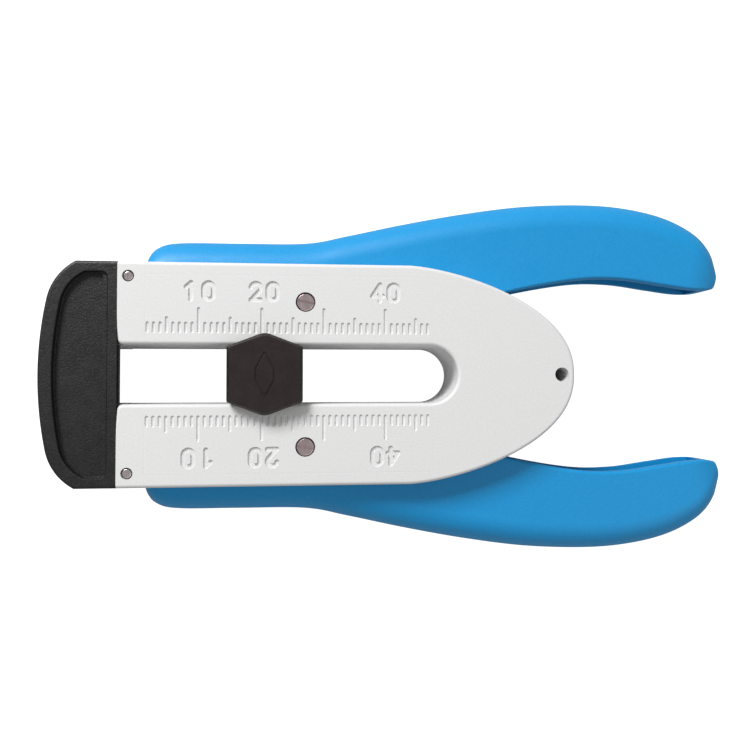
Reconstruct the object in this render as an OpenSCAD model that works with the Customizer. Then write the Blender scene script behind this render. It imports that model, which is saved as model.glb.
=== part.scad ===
// Fibre stripper: a flat housing with a sliding length stop, and two sprung
// handles whose steel arms close a pair of notched blades behind the cap.
// Millimetres. +X runs from the nose to the handle tips, +Y across, +Z up.
// The fibre runs along the line y = 0 at half the thickness of the housing.

/* [Housing] */
// Front tip of the cap, from the origin
nose_x = -57.85; // [-60:0.05:-50]
// Width of the housing and of the cap
body_w = 36.1; // [35:0.1:40]
// Thickness of the closed housing
body_t = 18; // [17:0.5:22]
// Straight length of the housing behind the cap
straight_l = 46.7; // [46:0.1:52]
// Length of the rounded tail
tail_l = 28; // [26.5:0.5:34]
// Top and bottom plate thickness
plate_t = 2; // [1.6:0.1:2.2]
// Side wall thickness
wall_t = 2; // [1.6:0.1:2.4]
// Gap between the handles and the edges of the side windows
window_gap = 0.25; // [0.15:0.05:0.35]
// Length of the closed wall round the end of the tail
tail_wall_l = 8; // [6:0.5:9]

/* [Cap] */
// Length of the cap from its nose to the housing
cap_l = 12.1; // [11.8:0.1:14]
// Radius of the bowed front
bow_r = 60; // [50:1:90]
// Radius of the front corners
corner_r = 9; // [8.6:0.1:10]
// Distance from the side of the cap to the centre of its corner radius
corner_in = 7.85; // [7.6:0.05:8.2]
// Cap wall thickness
cap_wall = 2; // [1.6:0.1:2.4]
// Width of the rim round the sunk panel
rim_w = 2.1; // [1.6:0.1:2.6]
// Depth of the sunk panel
panel_d = 1.2; // [0.8:0.1:1.4]
// Length of the tongues that hold the cap between the shells
tongue_l = 2.9; // [2.4:0.1:2.95]
// How far the cap's lip reaches into the slot
lip_l = 0.2; // [0.1:0.05:0.6]
// Thickness of the lip
lip_t = 1.2; // [0.9:0.1:1.4]

/* [Slot and scale] */
// Width of the slot
slot_w = 9.5; // [8.6:0.1:10]
// Wall round the slot inside the housing
slot_wall = 1.6; // [1.2:0.1:1.8]
// Zero of the scale, from the nose
zero_from_nose = 14.75; // [14.5:0.05:16]
// Rear end of the slot on the scale
slot_end = 52.1; // [50:0.1:53]
// Line width of the graduations
tick_w = 0.5; // [0.3:0.05:0.6]
// Depth of the engraving
engrave_d = 0.15; // [0.1:0.05:0.3]
// Length of the one millimetre graduations
tick_l = 1.9; // [1.4:0.1:2.2]
// Height of the numerals
digit_h = 3.5; // [2.8:0.1:3.8]

/* [Pivots] */
// Pivot pins on the scale
pivot_at = 27; // [26:0.1:28]
// Pivot pins from the side of the housing
pivot_in = 6.28; // [6.1:0.01:6.6]
// Radius of the pivot pins
pin_r = 1.4; // [1.2:0.05:1.5]
// Running clearance round the pins
pin_gap = 0.05; // [0.02:0.01:0.08]
// Wall of the pivot bushes
bush_wall = 0.75; // [0.6:0.05:0.9]
// Radius of the threaded end of the pivot pins
pin_thread_r = 1.15; // [0.9:0.05:1.15]

/* [Handles] */
// Height of the handles
handle_h = 9.5; // [9.2:0.1:10]
// How far the straight front of a handle stands out of the housing
handle_out = 4.35; // [3.5:0.05:5]
// Thickness of the top and bottom flanges
flange_t = 1.75; // [1.5:0.05:1.8]
// Thickness of the outer wall
handle_wall = 2.2; // [1.8:0.1:2.6]

/* [Blades] */
// Thickness of the steel blade arms
arm_t = 2; // [1.6:0.1:2.2]
// Width of the blade arms
arm_w = 3.2; // [2.8:0.1:3.4]
// Distance from a blade arm's middle to the fibre
arm_y = 9.3; // [9.2:0.05:9.6]
// Blade thickness
blade_t = 0.8; // [0.5:0.05:0.85]
// Cutting plane in front of the scale's zero, equal to the stop's lead
cut_lead = 5.8; // [5.7:0.05:5.9]
// Gap from the fibre's middle to each blade edge while open
blade_open = 1.9; // [1.7:0.05:2.4]
// Radius at the root of the blade notch
notch_r = 0.1; // [0.06:0.01:0.2]
// Bore of the fibre guide
guide_r = 0.6; // [0.4:0.05:0.9]

/* [Length stop] */
// Length that the stop is set to
set_length = 20.6; // [16:0.1:36]
// Length of the stop's button along the slot
button_l = 12; // [11:0.1:13]
// Width of the button across its tips
button_w = 13.1; // [12.5:0.1:14]
// Height of the button above the housing
button_h = 2.5; // [1.8:0.1:3.2]
// Clearance of the carrier in the slot
slide_gap = 0.1; // [0.06:0.01:0.15]
// Thickness of the keeper plate under the carrier
keeper_t = 1.3; // [1:0.05:1.35]

/* [Fasteners] */
// Radius of the cap screw heads
cap_screw_r = 0.72; // [0.6:0.02:0.78]
// Radius of the hole for hanging the tool up
hang_r = 1.18; // [1:0.02:1.5]
// Hanging hole from the end of the tail
hang_in = 2.26; // [2.2:0.02:3]

/* [Hidden] */
$fn = 48;

// Levels
mid_z = body_t / 2;
window_h = handle_h + 2 * window_gap;
split_z = mid_z - window_h / 2;
window_top = split_z + window_h;
channel_h = handle_h - 2 * flange_t;
channel_top = mid_z + channel_h / 2;
arm_low = channel_top - arm_t;
arm_mid = channel_top - arm_t / 2;
roof_z = body_t - plate_t;
cap_roof_z = body_t - panel_d - cap_wall + 0.4;

// Places along the tool
cap_x = nose_x + cap_l;
tail_x = cap_x + straight_l;
end_x = tail_x + tail_l;
zero_x = nose_x + zero_from_nose;
slot_end_x = zero_x + slot_end;
pivot_x = zero_x + pivot_at;
cut_x = zero_x - cut_lead;
stop_x = zero_x + set_length;
hang_x = end_x - hang_in;
half_w = body_w / 2;
pivot_y = half_w - pivot_in;
slot_r = slot_w / 2;
slot_out = slot_r + slot_wall;

// Clearance of parts that fit together, depth at which joined forms meet, length by
// which a cut runs past its face, and a hair's breadth
joint_gap = 0.05;
root = 0.5;
past = 1;
hair = 0.01;

// ---- Outlines and small helpers ------------------------------------------
// The tail lies on a superellipse
tail_long = 1.48;
tail_cross = 2.2;
function tail_points(inset) = [for (a = [0:6:180])
    let (s = sin(a), c = cos(a))
    [tail_x + (tail_l - inset) * pow(s, 2 / tail_long),
     (half_w - inset) * sign(c) * pow(abs(c), 2 / tail_cross)]];

module body_outline(inset = 0, front = cap_x) {
    polygon(concat([[front, half_w - inset]], tail_points(inset), [[front, inset - half_w]]));
}

// The cap is a flat bow between two corner arcs, square at the rear
corner_y = half_w - corner_in;
corner_a = asin(corner_y / (bow_r - corner_r));
corner_x = nose_x + bow_r - (bow_r - corner_r) * cos(corner_a);

function corner_points(inset) =
    let (r = corner_r - inset, last = asin((corner_in - inset) / r))
    [for (i = [0:8]) let (a = last + (corner_a - last) * i / 8)
        [corner_x - r * cos(a), corner_y + r * sin(a)]];

function bow_points(inset) = [for (i = [1:11])
    let (a = corner_a * (1 - i / 6))
    [nose_x + bow_r - (bow_r - inset) * cos(a), (bow_r - inset) * sin(a)]];

function flipped(points) = [for (i = [len(points) - 1:-1:0]) [points[i][0], -points[i][1]]];

module cap_outline(inset = 0, rear = cap_x) {
    side = half_w - inset;
    polygon(concat([[rear, -side], [rear, side]], corner_points(inset), bow_points(inset),
        flipped(corner_points(inset))));
}

// A flat band of one width along a path, with round ends and corners. They stand a hair
// proud of the sides, so that no arc only touches a line.
module band(path, w) {
    for (i = [1:len(path) - 1]) {
        d = path[i] - path[i - 1];
        translate(path[i - 1]) rotate(atan2(d[1], d[0])) translate([0, -w / 2]) square([norm(d), w]);
    }
    for (p = path) translate(p) circle(w / 2 + hair);
}

// A plane figure raised from one level to another
module slab(z0, z1) {
    translate([0, 0, z0]) linear_extrude(z1 - z0) children();
}

// An upright round post or hole at p, from one level to another
module post(p, r, z0, z1) {
    translate([p[0], p[1], z0]) cylinder(r = r, h = z1 - z0);
}

module both_sides() {
    children();
    mirror([0, 1, 0]) children();
}

// The right-hand lever is the left-hand one turned over about the fibre
module turned_over() {
    translate([0, 0, body_t]) rotate([180, 0, 0]) children();
}

module slot_shape(grow = 0, front = cap_x - cap_l / 2) {
    r = slot_r + grow;
    translate([slot_end_x - slot_r, 0]) circle(r);
    translate([front, -r]) square([slot_end_x - slot_r - front, 2 * r]);
}

// ---- Scale -----------------------------------------------------------------
tick_first = 2;
tick_last = 47;
tick_base = slot_r + 1.8;
tick_step_5 = 0.85;
tick_step_10 = 2.35;
digit_base = slot_r + 6.9;
digit_w = 2.3;
digit_gap = 0.35;
stroke = 0.7;
foot_1 = 0.75;
flag_1 = 1.1;
cut_2 = 0.45;
bar_4 = 0.85;
stem_4 = digit_w - 1.05;

function tick_len(n) = tick_l + (n % 10 == 0 ? tick_step_10 : n % 5 == 0 ? tick_step_5 : 0);

module ticks() {
    for (n = [tick_first:tick_last])
        translate([zero_x + n - tick_w / 2, tick_base]) square([tick_w, tick_len(n)]);
}

module digit_0() {
    r = digit_w / 2;
    difference() {
        band([[r, r], [r, digit_h - r]], digit_w);
        band([[r, r], [r, digit_h - r]], digit_w - 2 * stroke);
    }
}

module digit_1() {
    translate([foot_1, 0]) square([stroke, digit_h]);
    band([[stroke / 2, digit_h - flag_1], [foot_1 + stroke / 2, digit_h - stroke / 2]], stroke);
}

module digit_2() {
    r = digit_w / 2;
    translate([r, digit_h - r]) difference() {
        circle(r);
        circle(r - stroke);
        translate([-r, -r]) square(r);
        translate([0, -r]) square([r, r - root]);
    }
    band([[2 * r - cut_2, digit_h - r - stroke / 2], [stroke / 2, stroke / 2]], stroke);
    square([digit_w, stroke]);
}

module digit_4() {
    translate([stem_4, 0]) square([stroke, digit_h]);
    band([[stem_4 + stroke / 2, digit_h - stroke / 2], [stroke / 2, bar_4 + stroke / 2]], stroke);
    translate([0, bar_4]) square([digit_w, stroke]);
}

// The numeral for n, with its zero, read from the front side
module numeral(n) {
    step = digit_w + digit_gap;
    shift = n == 10 ? digit_w : step - digit_gap / 2;
    translate([zero_x + n - shift, digit_base]) {
        if (n == 10) digit_1();
        if (n == 20) digit_2();
        if (n == 40) digit_4();
        translate([step, 0]) digit_0();
    }
}

// The two scales face each other across the slot; the pivots stand at 30
module scale_marks() {
    both_sides() ticks();
    for (n = [10, 20, 40]) {
        numeral(n);
        translate([2 * (zero_x + n), 0]) rotate(180) numeral(n);
    }
}

// ---- Housing ---------------------------------------------------------------
boss_r = 3.1;
boss_lap = 0.15;
pin_hole_r = pin_r + 0.2;
recess_d = 1;
hang_wall_r = hang_r + 1.05;
// The walls of the slot run on under the cap, less far above than below the blades
ahead_above = 2;
ahead_below = 3.55;
tail_screw_x = slot_end_x + slot_wall + 4.4;
tail_screw_r = 0.9;
tail_head_r = 1.7;
tail_head_h = 1;
tail_boss_r = 2.6;
dowel_r = 1;
dowel_l = 5;
dowel_x = hang_x - 5.7;
dowel_y = 4.6;
dowel_boss_r = 2.1;
rib_w = 1.2;
cap_screw_x = cap_x + 1.65;
cap_screw_y = half_w - 2.35;
cap_hole_r = cap_screw_r + 0.22;
cap_shank_r = 0.5;
cap_screw_l = 5;
nut_r = 2.1;
track_w = 13.2;
track_d = keeper_t + 0.4;
track_wall = 1.5;
spring_x = slot_end_x - 7.1;
spigot_r = 1.4;
spigot_l = 2;
window_x = end_x - tail_wall_l;
rest_x = cap_x + 8;
rest_w = 3;
rest_l = arm_y - arm_w / 2 - slot_out - joint_gap;
pivot = [pivot_x, pivot_y];
cap_screw = [cap_screw_x, cap_screw_y];
dowel = [dowel_x, dowel_y];
hang = [hang_x, 0];
tail_screw_at = [tail_screw_x, 0];

// Posts and ribs that both shells carry on the middle of the tail
module tail_posts(z0, z1) {
    intersection() {
        slab(z0, z1) {
            translate(tail_screw_at) circle(tail_boss_r);
            translate(hang) circle(hang_wall_r);
            band([tail_screw_at, hang], rib_w);
            for (s = [-1, 1]) {
                translate([dowel_x, s * dowel_y]) circle(dowel_boss_r);
                band([[dowel_x, s * dowel_y], [end_x - wall_t, s * dowel_y / 2]], rib_w);
            }
        }
        slab(0, body_t) body_outline(hair);
    }
}

// A post that centres an end of a return spring, on a wall at y, pointing outwards
module spigot(y, out) {
    translate([spring_x, y - out * root, mid_z]) rotate([-90 * out, 0, 0])
        cylinder(r = spigot_r, h = spigot_l + root);
}

module top_shell() {
    color("gainsboro") difference() {
        union() {
            difference() {
                slab(split_z, body_t) body_outline();
                slab(split_z - past, roof_z) body_outline(wall_t, cap_x - past);
                // side windows for the handles, as far as the closed end of the tail
                slab(split_z - past, window_top) difference() {
                    body_outline(-past, cap_x - past);
                    body_outline(wall_t + past);
                    translate([window_x, -half_w - past]) square([end_x, body_w + 2 * past]);
                }
            }
            slab(split_z, roof_z + hair) slot_shape(slot_wall, cap_x);
            slab(split_z, cap_roof_z - joint_gap) slot_shape(slot_wall, cap_x - ahead_above);
            both_sides() {
                post(pivot, boss_r, window_top - boss_lap, roof_z + joint_gap);
                spigot(slot_out, 1);
            }
            // rest stops, one for each arm at its own level
            slab(arm_low, roof_z + hair) translate([rest_x, slot_out - root])
                square([rest_w, rest_l + root]);
            slab(split_z, body_t - arm_low) translate([rest_x, -slot_out - rest_l])
                square([rest_w, rest_l + root]);
            tail_posts(split_z, roof_z + hair);
        }
        slab(-past, body_t + past) slot_shape();
        both_sides() {
            post(pivot, pin_r + pin_gap, 0, body_t);
            post(pivot, pin_hole_r, body_t - recess_d, body_t + past);
            post(cap_screw, cap_shank_r + joint_gap, 0, body_t);
            post(cap_screw, cap_hole_r, body_t - recess_d, body_t + past);
            post(dowel, dowel_r, 0, split_z + dowel_l / 2);
        }
        post(hang, hang_r, -past, body_t + past);
        post(tail_screw_at, tail_screw_r, -past, roof_z - 2);
        slab(body_t - engrave_d, body_t + past) scale_marks();
    }
}

module bottom_shell() {
    color("gainsboro") difference() {
        union() {
            difference() {
                slab(0, split_z) body_outline();
                slab(plate_t, split_z + past) body_outline(wall_t, cap_x - past);
            }
            slab(0, split_z) slot_shape(slot_wall, cap_x - ahead_below);
            // shelf over the keeper's track
            slab(0, min(split_z, track_d + plate_t))
                translate([cap_x, -track_w / 2 - track_wall])
                square([slot_end_x + slot_wall - cap_x, track_w + 2 * track_wall]);
            both_sides() post(pivot, boss_r, 0, split_z + boss_lap);
            tail_posts(0, split_z);
        }
        slab(-past, body_t) slot_shape();
        slab(-past, track_d) slot_shape(track_w / 2 - slot_r, cap_x);
        both_sides() {
            post(pivot, nut_r, plate_t / 2, body_t);
            post(cap_screw, cap_shank_r + joint_gap, -past, body_t);
            post(cap_screw, cap_hole_r, -past, recess_d);
            post(dowel, dowel_r, split_z - dowel_l / 2, split_z + past);
        }
        post(hang, hang_r, -past, body_t);
        post(tail_screw_at, tail_screw_r + joint_gap, -past, body_t);
        post(tail_screw_at, tail_head_r + 2 * joint_gap, -past, tail_head_h + 0.2);
    }
}

// ---- Cap -------------------------------------------------------------------
tongue_y = half_w - 5;
chute_x = cap_x - ahead_below - joint_gap;
chute_y = slot_out + joint_gap;
guide_out = 1.5;
guide_x = cut_x - 4.7;
guide_sink = 0.5;
ledge_w = 0.75;
ledge_x = cap_x - rim_w + ledge_w;
lip_sink = 0.6;
lip_low = body_t - lip_sink - lip_t;
reach = 9;

// A bore or rod along the fibre, from one place along the tool to another
module along_fibre(r, x0, x1) {
    translate([x0, 0, mid_z]) rotate([0, 90, 0]) cylinder(r = r, h = x1 - x0);
}

module head_cap() {
    color([0.17, 0.17, 0.17]) difference() {
        union() {
            slab(0, body_t) cap_outline();
            // lip that closes the front of the slot
            slab(lip_low, body_t - lip_sink) translate([cap_x - past, -slot_r + joint_gap])
                square([past + lip_l, slot_w - 2 * joint_gap]);
            // tongues between the shells, and the front ends of the side windows
            both_sides() translate([cap_x - past, tongue_y]) {
                slab(split_z + joint_gap, window_top - joint_gap)
                    square([tongue_l + past, half_w - tongue_y]);
                slab(plate_t + joint_gap, roof_z - joint_gap)
                    square([tongue_l + past, half_w - wall_t - joint_gap - tongue_y]);
            }
        }
        // hollow for the arms and blades, open to the housing behind
        slab(cap_wall, cap_roof_z) difference() {
            cap_outline(cap_wall, cap_x + reach);
            translate([cap_x - past, tongue_y]) square([reach + 2, half_w]);
            translate([cap_x - past, -tongue_y - half_w]) square([reach + 2, half_w]);
        }
        // chute under the blades, where the slot runs on through the underside
        slab(-past, cap_roof_z) translate([chute_x, -chute_y]) square([reach, 2 * chute_y]);
        slab(cap_wall, lip_low) translate([ledge_x, -chute_y]) square([reach, 2 * chute_y]);
        // sunk panel with a low ledge at its rear
        slab(body_t - panel_d, body_t + past) cap_outline(rim_w, cap_x - rim_w);
        slab(body_t - panel_d / 2, body_t + past) cap_outline(rim_w, ledge_x);
        // fibre path
        along_fibre(guide_out, nose_x - past, guide_x);
        both_sides() {
            post(cap_screw, cap_shank_r, 0, plate_t + cap_screw_l);
            post(cap_screw, cap_shank_r, roof_z - cap_screw_l, body_t);
        }
    }
}

module fibre_guide() {
    front = nose_x + guide_sink;
    mouth_l = 1.2;
    color("goldenrod") difference() {
        along_fibre(guide_out, front, guide_x);
        along_fibre(guide_r, front - past, guide_x + past);
        translate([front - hair, 0, mid_z]) rotate([0, 90, 0])
            cylinder(r1 = guide_out - 0.3, r2 = guide_r, h = mouth_l);
    }
}

// ---- Fasteners -------------------------------------------------------------
cross_d = 0.25;

// A screw with a cross recess, head up, its top at the origin
module screw(head_r, head_h, shank_r, l) {
    cross_l = head_r * 1.3;
    cross_w = head_r * 0.3;
    difference() {
        union() {
            translate([0, 0, -head_h]) cylinder(r = head_r, h = head_h);
            translate([0, 0, -l]) cylinder(r = shank_r, h = l);
        }
        cube([cross_l, cross_w, 2 * cross_d], center = true);
        cube([cross_w, cross_l, 2 * cross_d], center = true);
    }
}

// A screw at p with its head up at level z, or with its head down
module screw_up(p, z, head_r, head_h, shank_r, l) {
    translate([p[0], p[1], z]) screw(head_r, head_h, shank_r, l);
}

module screw_down(p, z, head_r, head_h, shank_r, l) {
    translate([p[0], p[1], z]) rotate([180, 0, 0]) screw(head_r, head_h, shank_r, l);
}

module cap_screws() {
    head_sink = 0.15;
    head_h = recess_d - head_sink - joint_gap;
    color("silver") both_sides() {
        screw_up(cap_screw, body_t - head_sink, cap_screw_r, head_h, cap_shank_r, cap_screw_l);
        screw_down(cap_screw, head_sink, cap_screw_r, head_h, cap_shank_r, cap_screw_l);
    }
}

module tail_screw() {
    color("silver")
        screw_down(tail_screw_at, 0.2, tail_head_r, tail_head_h, tail_screw_r, roof_z - 3);
}

module locating_dowels() {
    color("silver") both_sides()
        post(dowel, dowel_r, split_z - dowel_l / 2, split_z + dowel_l / 2);
}

// ---- Pivots ----------------------------------------------------------------
pin_sink = 0.25;
pin_slot_w = 0.45;
pin_slot_d = 0.6;
pin_slot_turn = -11;

module pivot_pin() {
    color([0.66, 0.63, 0.63]) difference() {
        union() {
            post([0, 0], pin_r, split_z, body_t - pin_sink);
            post([0, 0], pin_thread_r, plate_t / 2 + 2 * joint_gap, split_z + root);
        }
        translate([0, 0, body_t - pin_sink]) rotate(pin_slot_turn)
            cube([4 * pin_r, pin_slot_w, 2 * pin_slot_d], center = true);
    }
}

module pivot_pin_left() {
    translate(pivot) pivot_pin();
}

module pivot_pin_right() {
    translate([pivot_x, -pivot_y]) pivot_pin();
}

module pivot_nuts() {
    color("goldenrod") both_sides() difference() {
        post(pivot, nut_r, plate_t / 2, split_z);
        post(pivot, pin_thread_r, 0, split_z + past);
    }
}

// ---- Return springs --------------------------------------------------------
wire_r = 0.35;
coil_r = 2.15;
coil_turns = 6;
coil_steps = 18;
wire_sides = 8;
seat_y = half_w;

function coil_point(i, n, l) = let (a = 360 * i / coil_steps)
    [coil_r * cos(a), coil_r * sin(a), wire_r + (l - 2 * wire_r) * i / n];

module coil(l) {
    n = coil_turns * coil_steps;
    m = wire_sides;
    points = [for (i = [0:n]) let (a = 360 * i / coil_steps, c = coil_point(i, n, l))
        for (k = [0:m - 1]) let (b = 360 * k / m)
            c + wire_r * [cos(b) * cos(a), cos(b) * sin(a), sin(b)]];
    walls = [for (i = [0:n - 1]) for (k = [0:m - 1]) let (j = (k + 1) % m)
        [i * m + k, i * m + j, (i + 1) * m + j, (i + 1) * m + k]];
    start = [for (k = [m - 1:-1:0]) k];
    finish = [for (k = [0:m - 1]) n * m + k];
    polyhedron(points, concat(walls, [start, finish]), convexity = 10);
}

module return_spring() {
    color("silver") translate([spring_x, slot_out + joint_gap, mid_z]) rotate([-90, 0, 0])
        coil(seat_y - slot_out - 2 * joint_gap);
}

module return_spring_left() {
    return_spring();
}

module return_spring_right() {
    turned_over() return_spring();
}

// ---- Handles ---------------------------------------------------------------
// Stations along a handle, nose end first: a point on its outer edge and one on its
// inner edge, from the pivot and from the straight outer side
tip_l = 73.95;
stations = [
    [[-26.45, -5.9], [-26.45, -11.9]], [[-26.2, -2.8], [-25.5, -11.9]],
    [[-24.5, -0.8], [-23.5, -11.9]], [[-20.8, 0], [-20, -11.9]],
    [[-11, 0.1], [-11, -11.9]], [[0, 0.3], [0, -11.9]],
    [[7, 1.7], [7, -11.9]], [[16.4, 3.85], [17, -11.8]],
    [[27, 5.95], [27, -10.2]], [[38, 7.55], [37, -7.6]],
    [[49, 8.1], [47.5, -5.8]], [[57, 7.6], [55, -5.7]],
    [[64, 6.05], [62, -6.6]], [[69.4, 3.4], [67, -7.25]],
    [[72.6, 0], [70.5, -7.35]], [[tip_l, -4.2], [tip_l - 1.15, -6.9]]];
outer_y = half_w + handle_out;
steps = 3;
last = len(stations) - 1;

// Catmull-Rom curve through the stations; k is 0 on the outer edge, 1 on the inner
function place(p) = [pivot_x + p[0], outer_y + p[1]];
function at(i, k) = stations[max(0, min(last, i))][k];
function curve(i, f, k) =
    let (a = at(i - 1, k), b = at(i, k), c = at(i + 1, k), d = at(i + 2, k))
    place(0.5 * (2 * b + (c - a) * f + (2 * a - 5 * b + 4 * c - d) * f * f
        + (3 * b - a - 3 * c + d) * f * f * f));
function edge(k) = concat(
    [for (i = [0:last - 1]) for (j = [0:steps - 1]) curve(i, j / steps, k)],
    [place(stations[last][k])]);
outer_edge = edge(0);
inner_edge = edge(1);
count = len(outer_edge);

// Half height of the handle at a station, rounded down over the tip
tip_round = 5;
tip_share = 0.45;
function half_h(i) = let (d = (pivot_x + tip_l - outer_edge[i][0]) / tip_round)
    handle_h / 2 * (d > 1 ? 1 : tip_share + (1 - tip_share) * sqrt(1 - pow(1 - max(d, 0), 2)));

// Cross-section at a station: a half round outer side, a square inner side
arc_n = 10;
arc_share = 0.8;
function section(i) =
    let (o = outer_edge[i], q = inner_edge[i], l = norm(q - o), u = (q - o) / l, b = half_h(i),
        a = min(handle_h / 2, arc_share * l))
    concat([for (k = [0:arc_n]) let (t = -90 + 180 * k / arc_n)
            [o[0] + u[0] * a * (1 - cos(t)), o[1] + u[1] * a * (1 - cos(t)), mid_z + b * sin(t)]],
        [[q[0], q[1], mid_z + b], [q[0], q[1], mid_z - b]]);

module handle_solid() {
    m = arc_n + 3;
    points = [for (i = [0:count - 1]) for (p = section(i)) p];
    walls = [for (i = [0:count - 2]) for (k = [0:m - 1]) let (n = (k + 1) % m)
        [i * m + k, (i + 1) * m + k, (i + 1) * m + n, i * m + n]];
    front = [for (k = [0:m - 1]) k];
    tip = [for (k = [m - 1:-1:0]) (count - 1) * m + k];
    polyhedron(points, concat(walls, [front, tip]), convexity = 6);
}

// Plan of the hollow between the flanges: it stops short of the tip, and it runs out
// through the front wall where the arm leaves the handle
channel_first = 3;
channel_last = count - 5;
mouth_x = outer_edge[0][0] - 2 * past;
mouth_y = arm_y + arm_w / 2 + 0.4;

function across(i) = inner_edge[i] - outer_edge[i];
function inside_wall(i) = outer_edge[i] + across(i) * handle_wall / norm(across(i));
function past_inner(i) = inner_edge[i] + across(i) * past / norm(across(i));

module channel_plan() {
    polygon(concat(
        [[mouth_x, mouth_y], [outer_edge[channel_first][0], mouth_y]],
        [for (i = [channel_first:channel_last]) inside_wall(i)],
        [for (i = [channel_last:-1:channel_first]) past_inner(i)],
        [[mouth_x, inner_edge[channel_first][1] - past]]));
}

eye_r = 4;
bush_r = pin_r + pin_gap + bush_wall;
screw_ahead = 17;
screw_ahead_in = 10.2;
screw_behind = 9;
screw_behind_in = 8.8;
arm_screw_front = [pivot_x - screw_ahead, outer_y - screw_ahead_in];
arm_screw_rear = [pivot_x + screw_behind, outer_y - screw_behind_in];
arm_screw_at = [arm_screw_front, arm_screw_rear];
arm_screw_r = 0.8;
arm_screw_head_r = 1.5;
arm_screw_head = 1;
seat_w = 7;
seat_t = 2;
handle_low = mid_z - handle_h / 2;
handle_top = mid_z + handle_h / 2;

module handle_left() {
    color([0.18, 0.61, 0.87]) difference() {
        union() {
            difference() {
                handle_solid();
                slab(mid_z - channel_h / 2, channel_top) channel_plan();
            }
            post(pivot, eye_r, handle_low, handle_top);
            // spring seat and its spigot
            translate([spring_x - seat_w / 2, seat_y, mid_z - channel_h / 2 - root])
                cube([seat_w, seat_t, channel_h + 2 * root]);
            spigot(seat_y, -1);
        }
        // seat of the arm's eye
        post(pivot, eye_r + past, arm_low, channel_top);
        post(pivot, bush_r, 0, body_t);
        for (p = arm_screw_at) post(p, arm_screw_r, mid_z, handle_top - root);
    }
}

module handle_right() {
    turned_over() handle_left();
}

module pivot_bush_left() {
    color("goldenrod") difference() {
        post(pivot, bush_r, handle_low, handle_top);
        post(pivot, pin_r + pin_gap, 0, body_t);
    }
}

module pivot_bush_right() {
    turned_over() pivot_bush_left();
}

// ---- Blades ----------------------------------------------------------------
cross_w = 2.4;
foot_w = 4.4;
arm_bend = 8;
blade_gap = 0.1;
pad_far = 7.4;
pad_near = 3.6;
blade_far = blade_open + 5.6;
blade_nick = 2;
blade_over = 0.8;
blade_proud = 0.4;
vee_h = 0.6;
vee_in = 0.1;
vee_out = 0.85;
point_l = 1.2;
blade_screw_r = 0.6;
blade_head_r = 0.95;
blade_head_h = 0.7;
blade_screw_y = -5.4;
blade_x = cut_x - blade_gap / 2 - blade_t;
cross_x = blade_x - cross_w;
second_pad = blade_t + blade_gap;

// A steel arm: from the handle past the pivot to the head, then across the fibre. The
// second arm carries its blade on a pad, so that the two blades pass each other.
module blade_arm(pad) {
    elbow = [pivot_x - arm_bend, arm_y];
    color("lightsteelblue") difference() {
        slab(arm_low, channel_top) {
            translate(pivot) circle(eye_r);
            band([pivot, arm_screw_rear], foot_w);
            band([pivot, elbow, [cross_x + cross_w / 2, arm_y]], arm_w);
            band([[arm_screw_front[0], arm_y], arm_screw_front], foot_w);
            translate([cross_x, -pad_far]) square([cross_w, arm_y + pad_far]);
            translate([cross_x, -pad_far]) square([cross_w + pad, pad_far - pad_near]);
        }
        post(pivot, bush_r, 0, body_t);
        for (p = arm_screw_at) post(p, arm_screw_r, 0, body_t);
        translate([cross_x - past, blade_screw_y, arm_mid]) rotate([0, 90, 0])
            cylinder(r = blade_screw_r, h = cross_w + second_pad + 2 * past);
    }
}

module blade_arm_left() {
    blade_arm(0);
}

module blade_arm_right() {
    turned_over() blade_arm(second_pad);
}

// A blade with a notched edge that meets the fibre from the far side
module blade(shift) {
    low = mid_z - blade_over;
    top = channel_top + blade_proud;
    color("silver") translate([blade_x + shift, 0, 0]) rotate([90, 0, 90])
        linear_extrude(blade_t) difference() {
            polygon([[-blade_far, arm_low - blade_proud], [-blade_far + blade_nick, low],
                [-blade_open, low], [-blade_open, mid_z + blade_over],
                [-blade_open - point_l, top], [-blade_far, top]]);
            polygon([[-blade_open + vee_in, mid_z + vee_h], [-blade_open + vee_in, mid_z - vee_h],
                [-blade_open - vee_out, mid_z]]);
            translate([-blade_open - vee_out + vee_in, mid_z]) circle(notch_r);
            translate([blade_screw_y, arm_mid]) circle(blade_screw_r);
        }
}

module blade_left() {
    blade(0);
}

module blade_right() {
    turned_over() blade(second_pad);
}

module blade_screw(shift) {
    color("silver") translate([cross_x - blade_head_h, blade_screw_y, arm_mid])
        rotate([0, -90, 0])
        screw(blade_head_r, blade_head_h, blade_screw_r, blade_head_h + cross_w + blade_t + shift);
}

module blade_screw_left() {
    blade_screw(0);
}

module blade_screw_right() {
    turned_over() blade_screw(second_pad);
}

module arm_screws_left() {
    l = arm_screw_head + arm_t + flange_t / 2;
    color("silver") for (p = arm_screw_at)
        screw_down(p, arm_low - arm_screw_head, arm_screw_head_r, arm_screw_head, arm_screw_r, l);
}

module arm_screws_right() {
    turned_over() arm_screws_left();
}

// ---- Length stop -----------------------------------------------------------
button_gap = 0.15;
button_side = 4.45;
blunt = 0.5;
bevel = 0.5;
button_top = body_t + button_h;
mark_h = 7;
mark_w = 3.1;
mark_side = 1.9;
mark_line = 0.22;
mark_d = 0.15;
carrier_w = slot_w - 2 * slide_gap;
carrier_front = 4.5;
carrier_rear = 5;
keeper_w = track_w - 0.4;
keeper_l = button_l - 2.4;
keeper_blunt = 2;
keeper_z = 0.25;
carrier_z = keeper_z + keeper_t;
stop_screw_dx = 2.6;
stop_screw_r = 0.75;
stop_head_r = 1.3;
stop_head_h = 0.7;
stop_skin = 0.9;
pad_r = 2;
pad_seat = 0.4;
leaf_r = 6.8;
leaf_t = 0.25;
leaf_h = 4;
leaf_l = 6.4;
leaf_pocket = 1.1;

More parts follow.
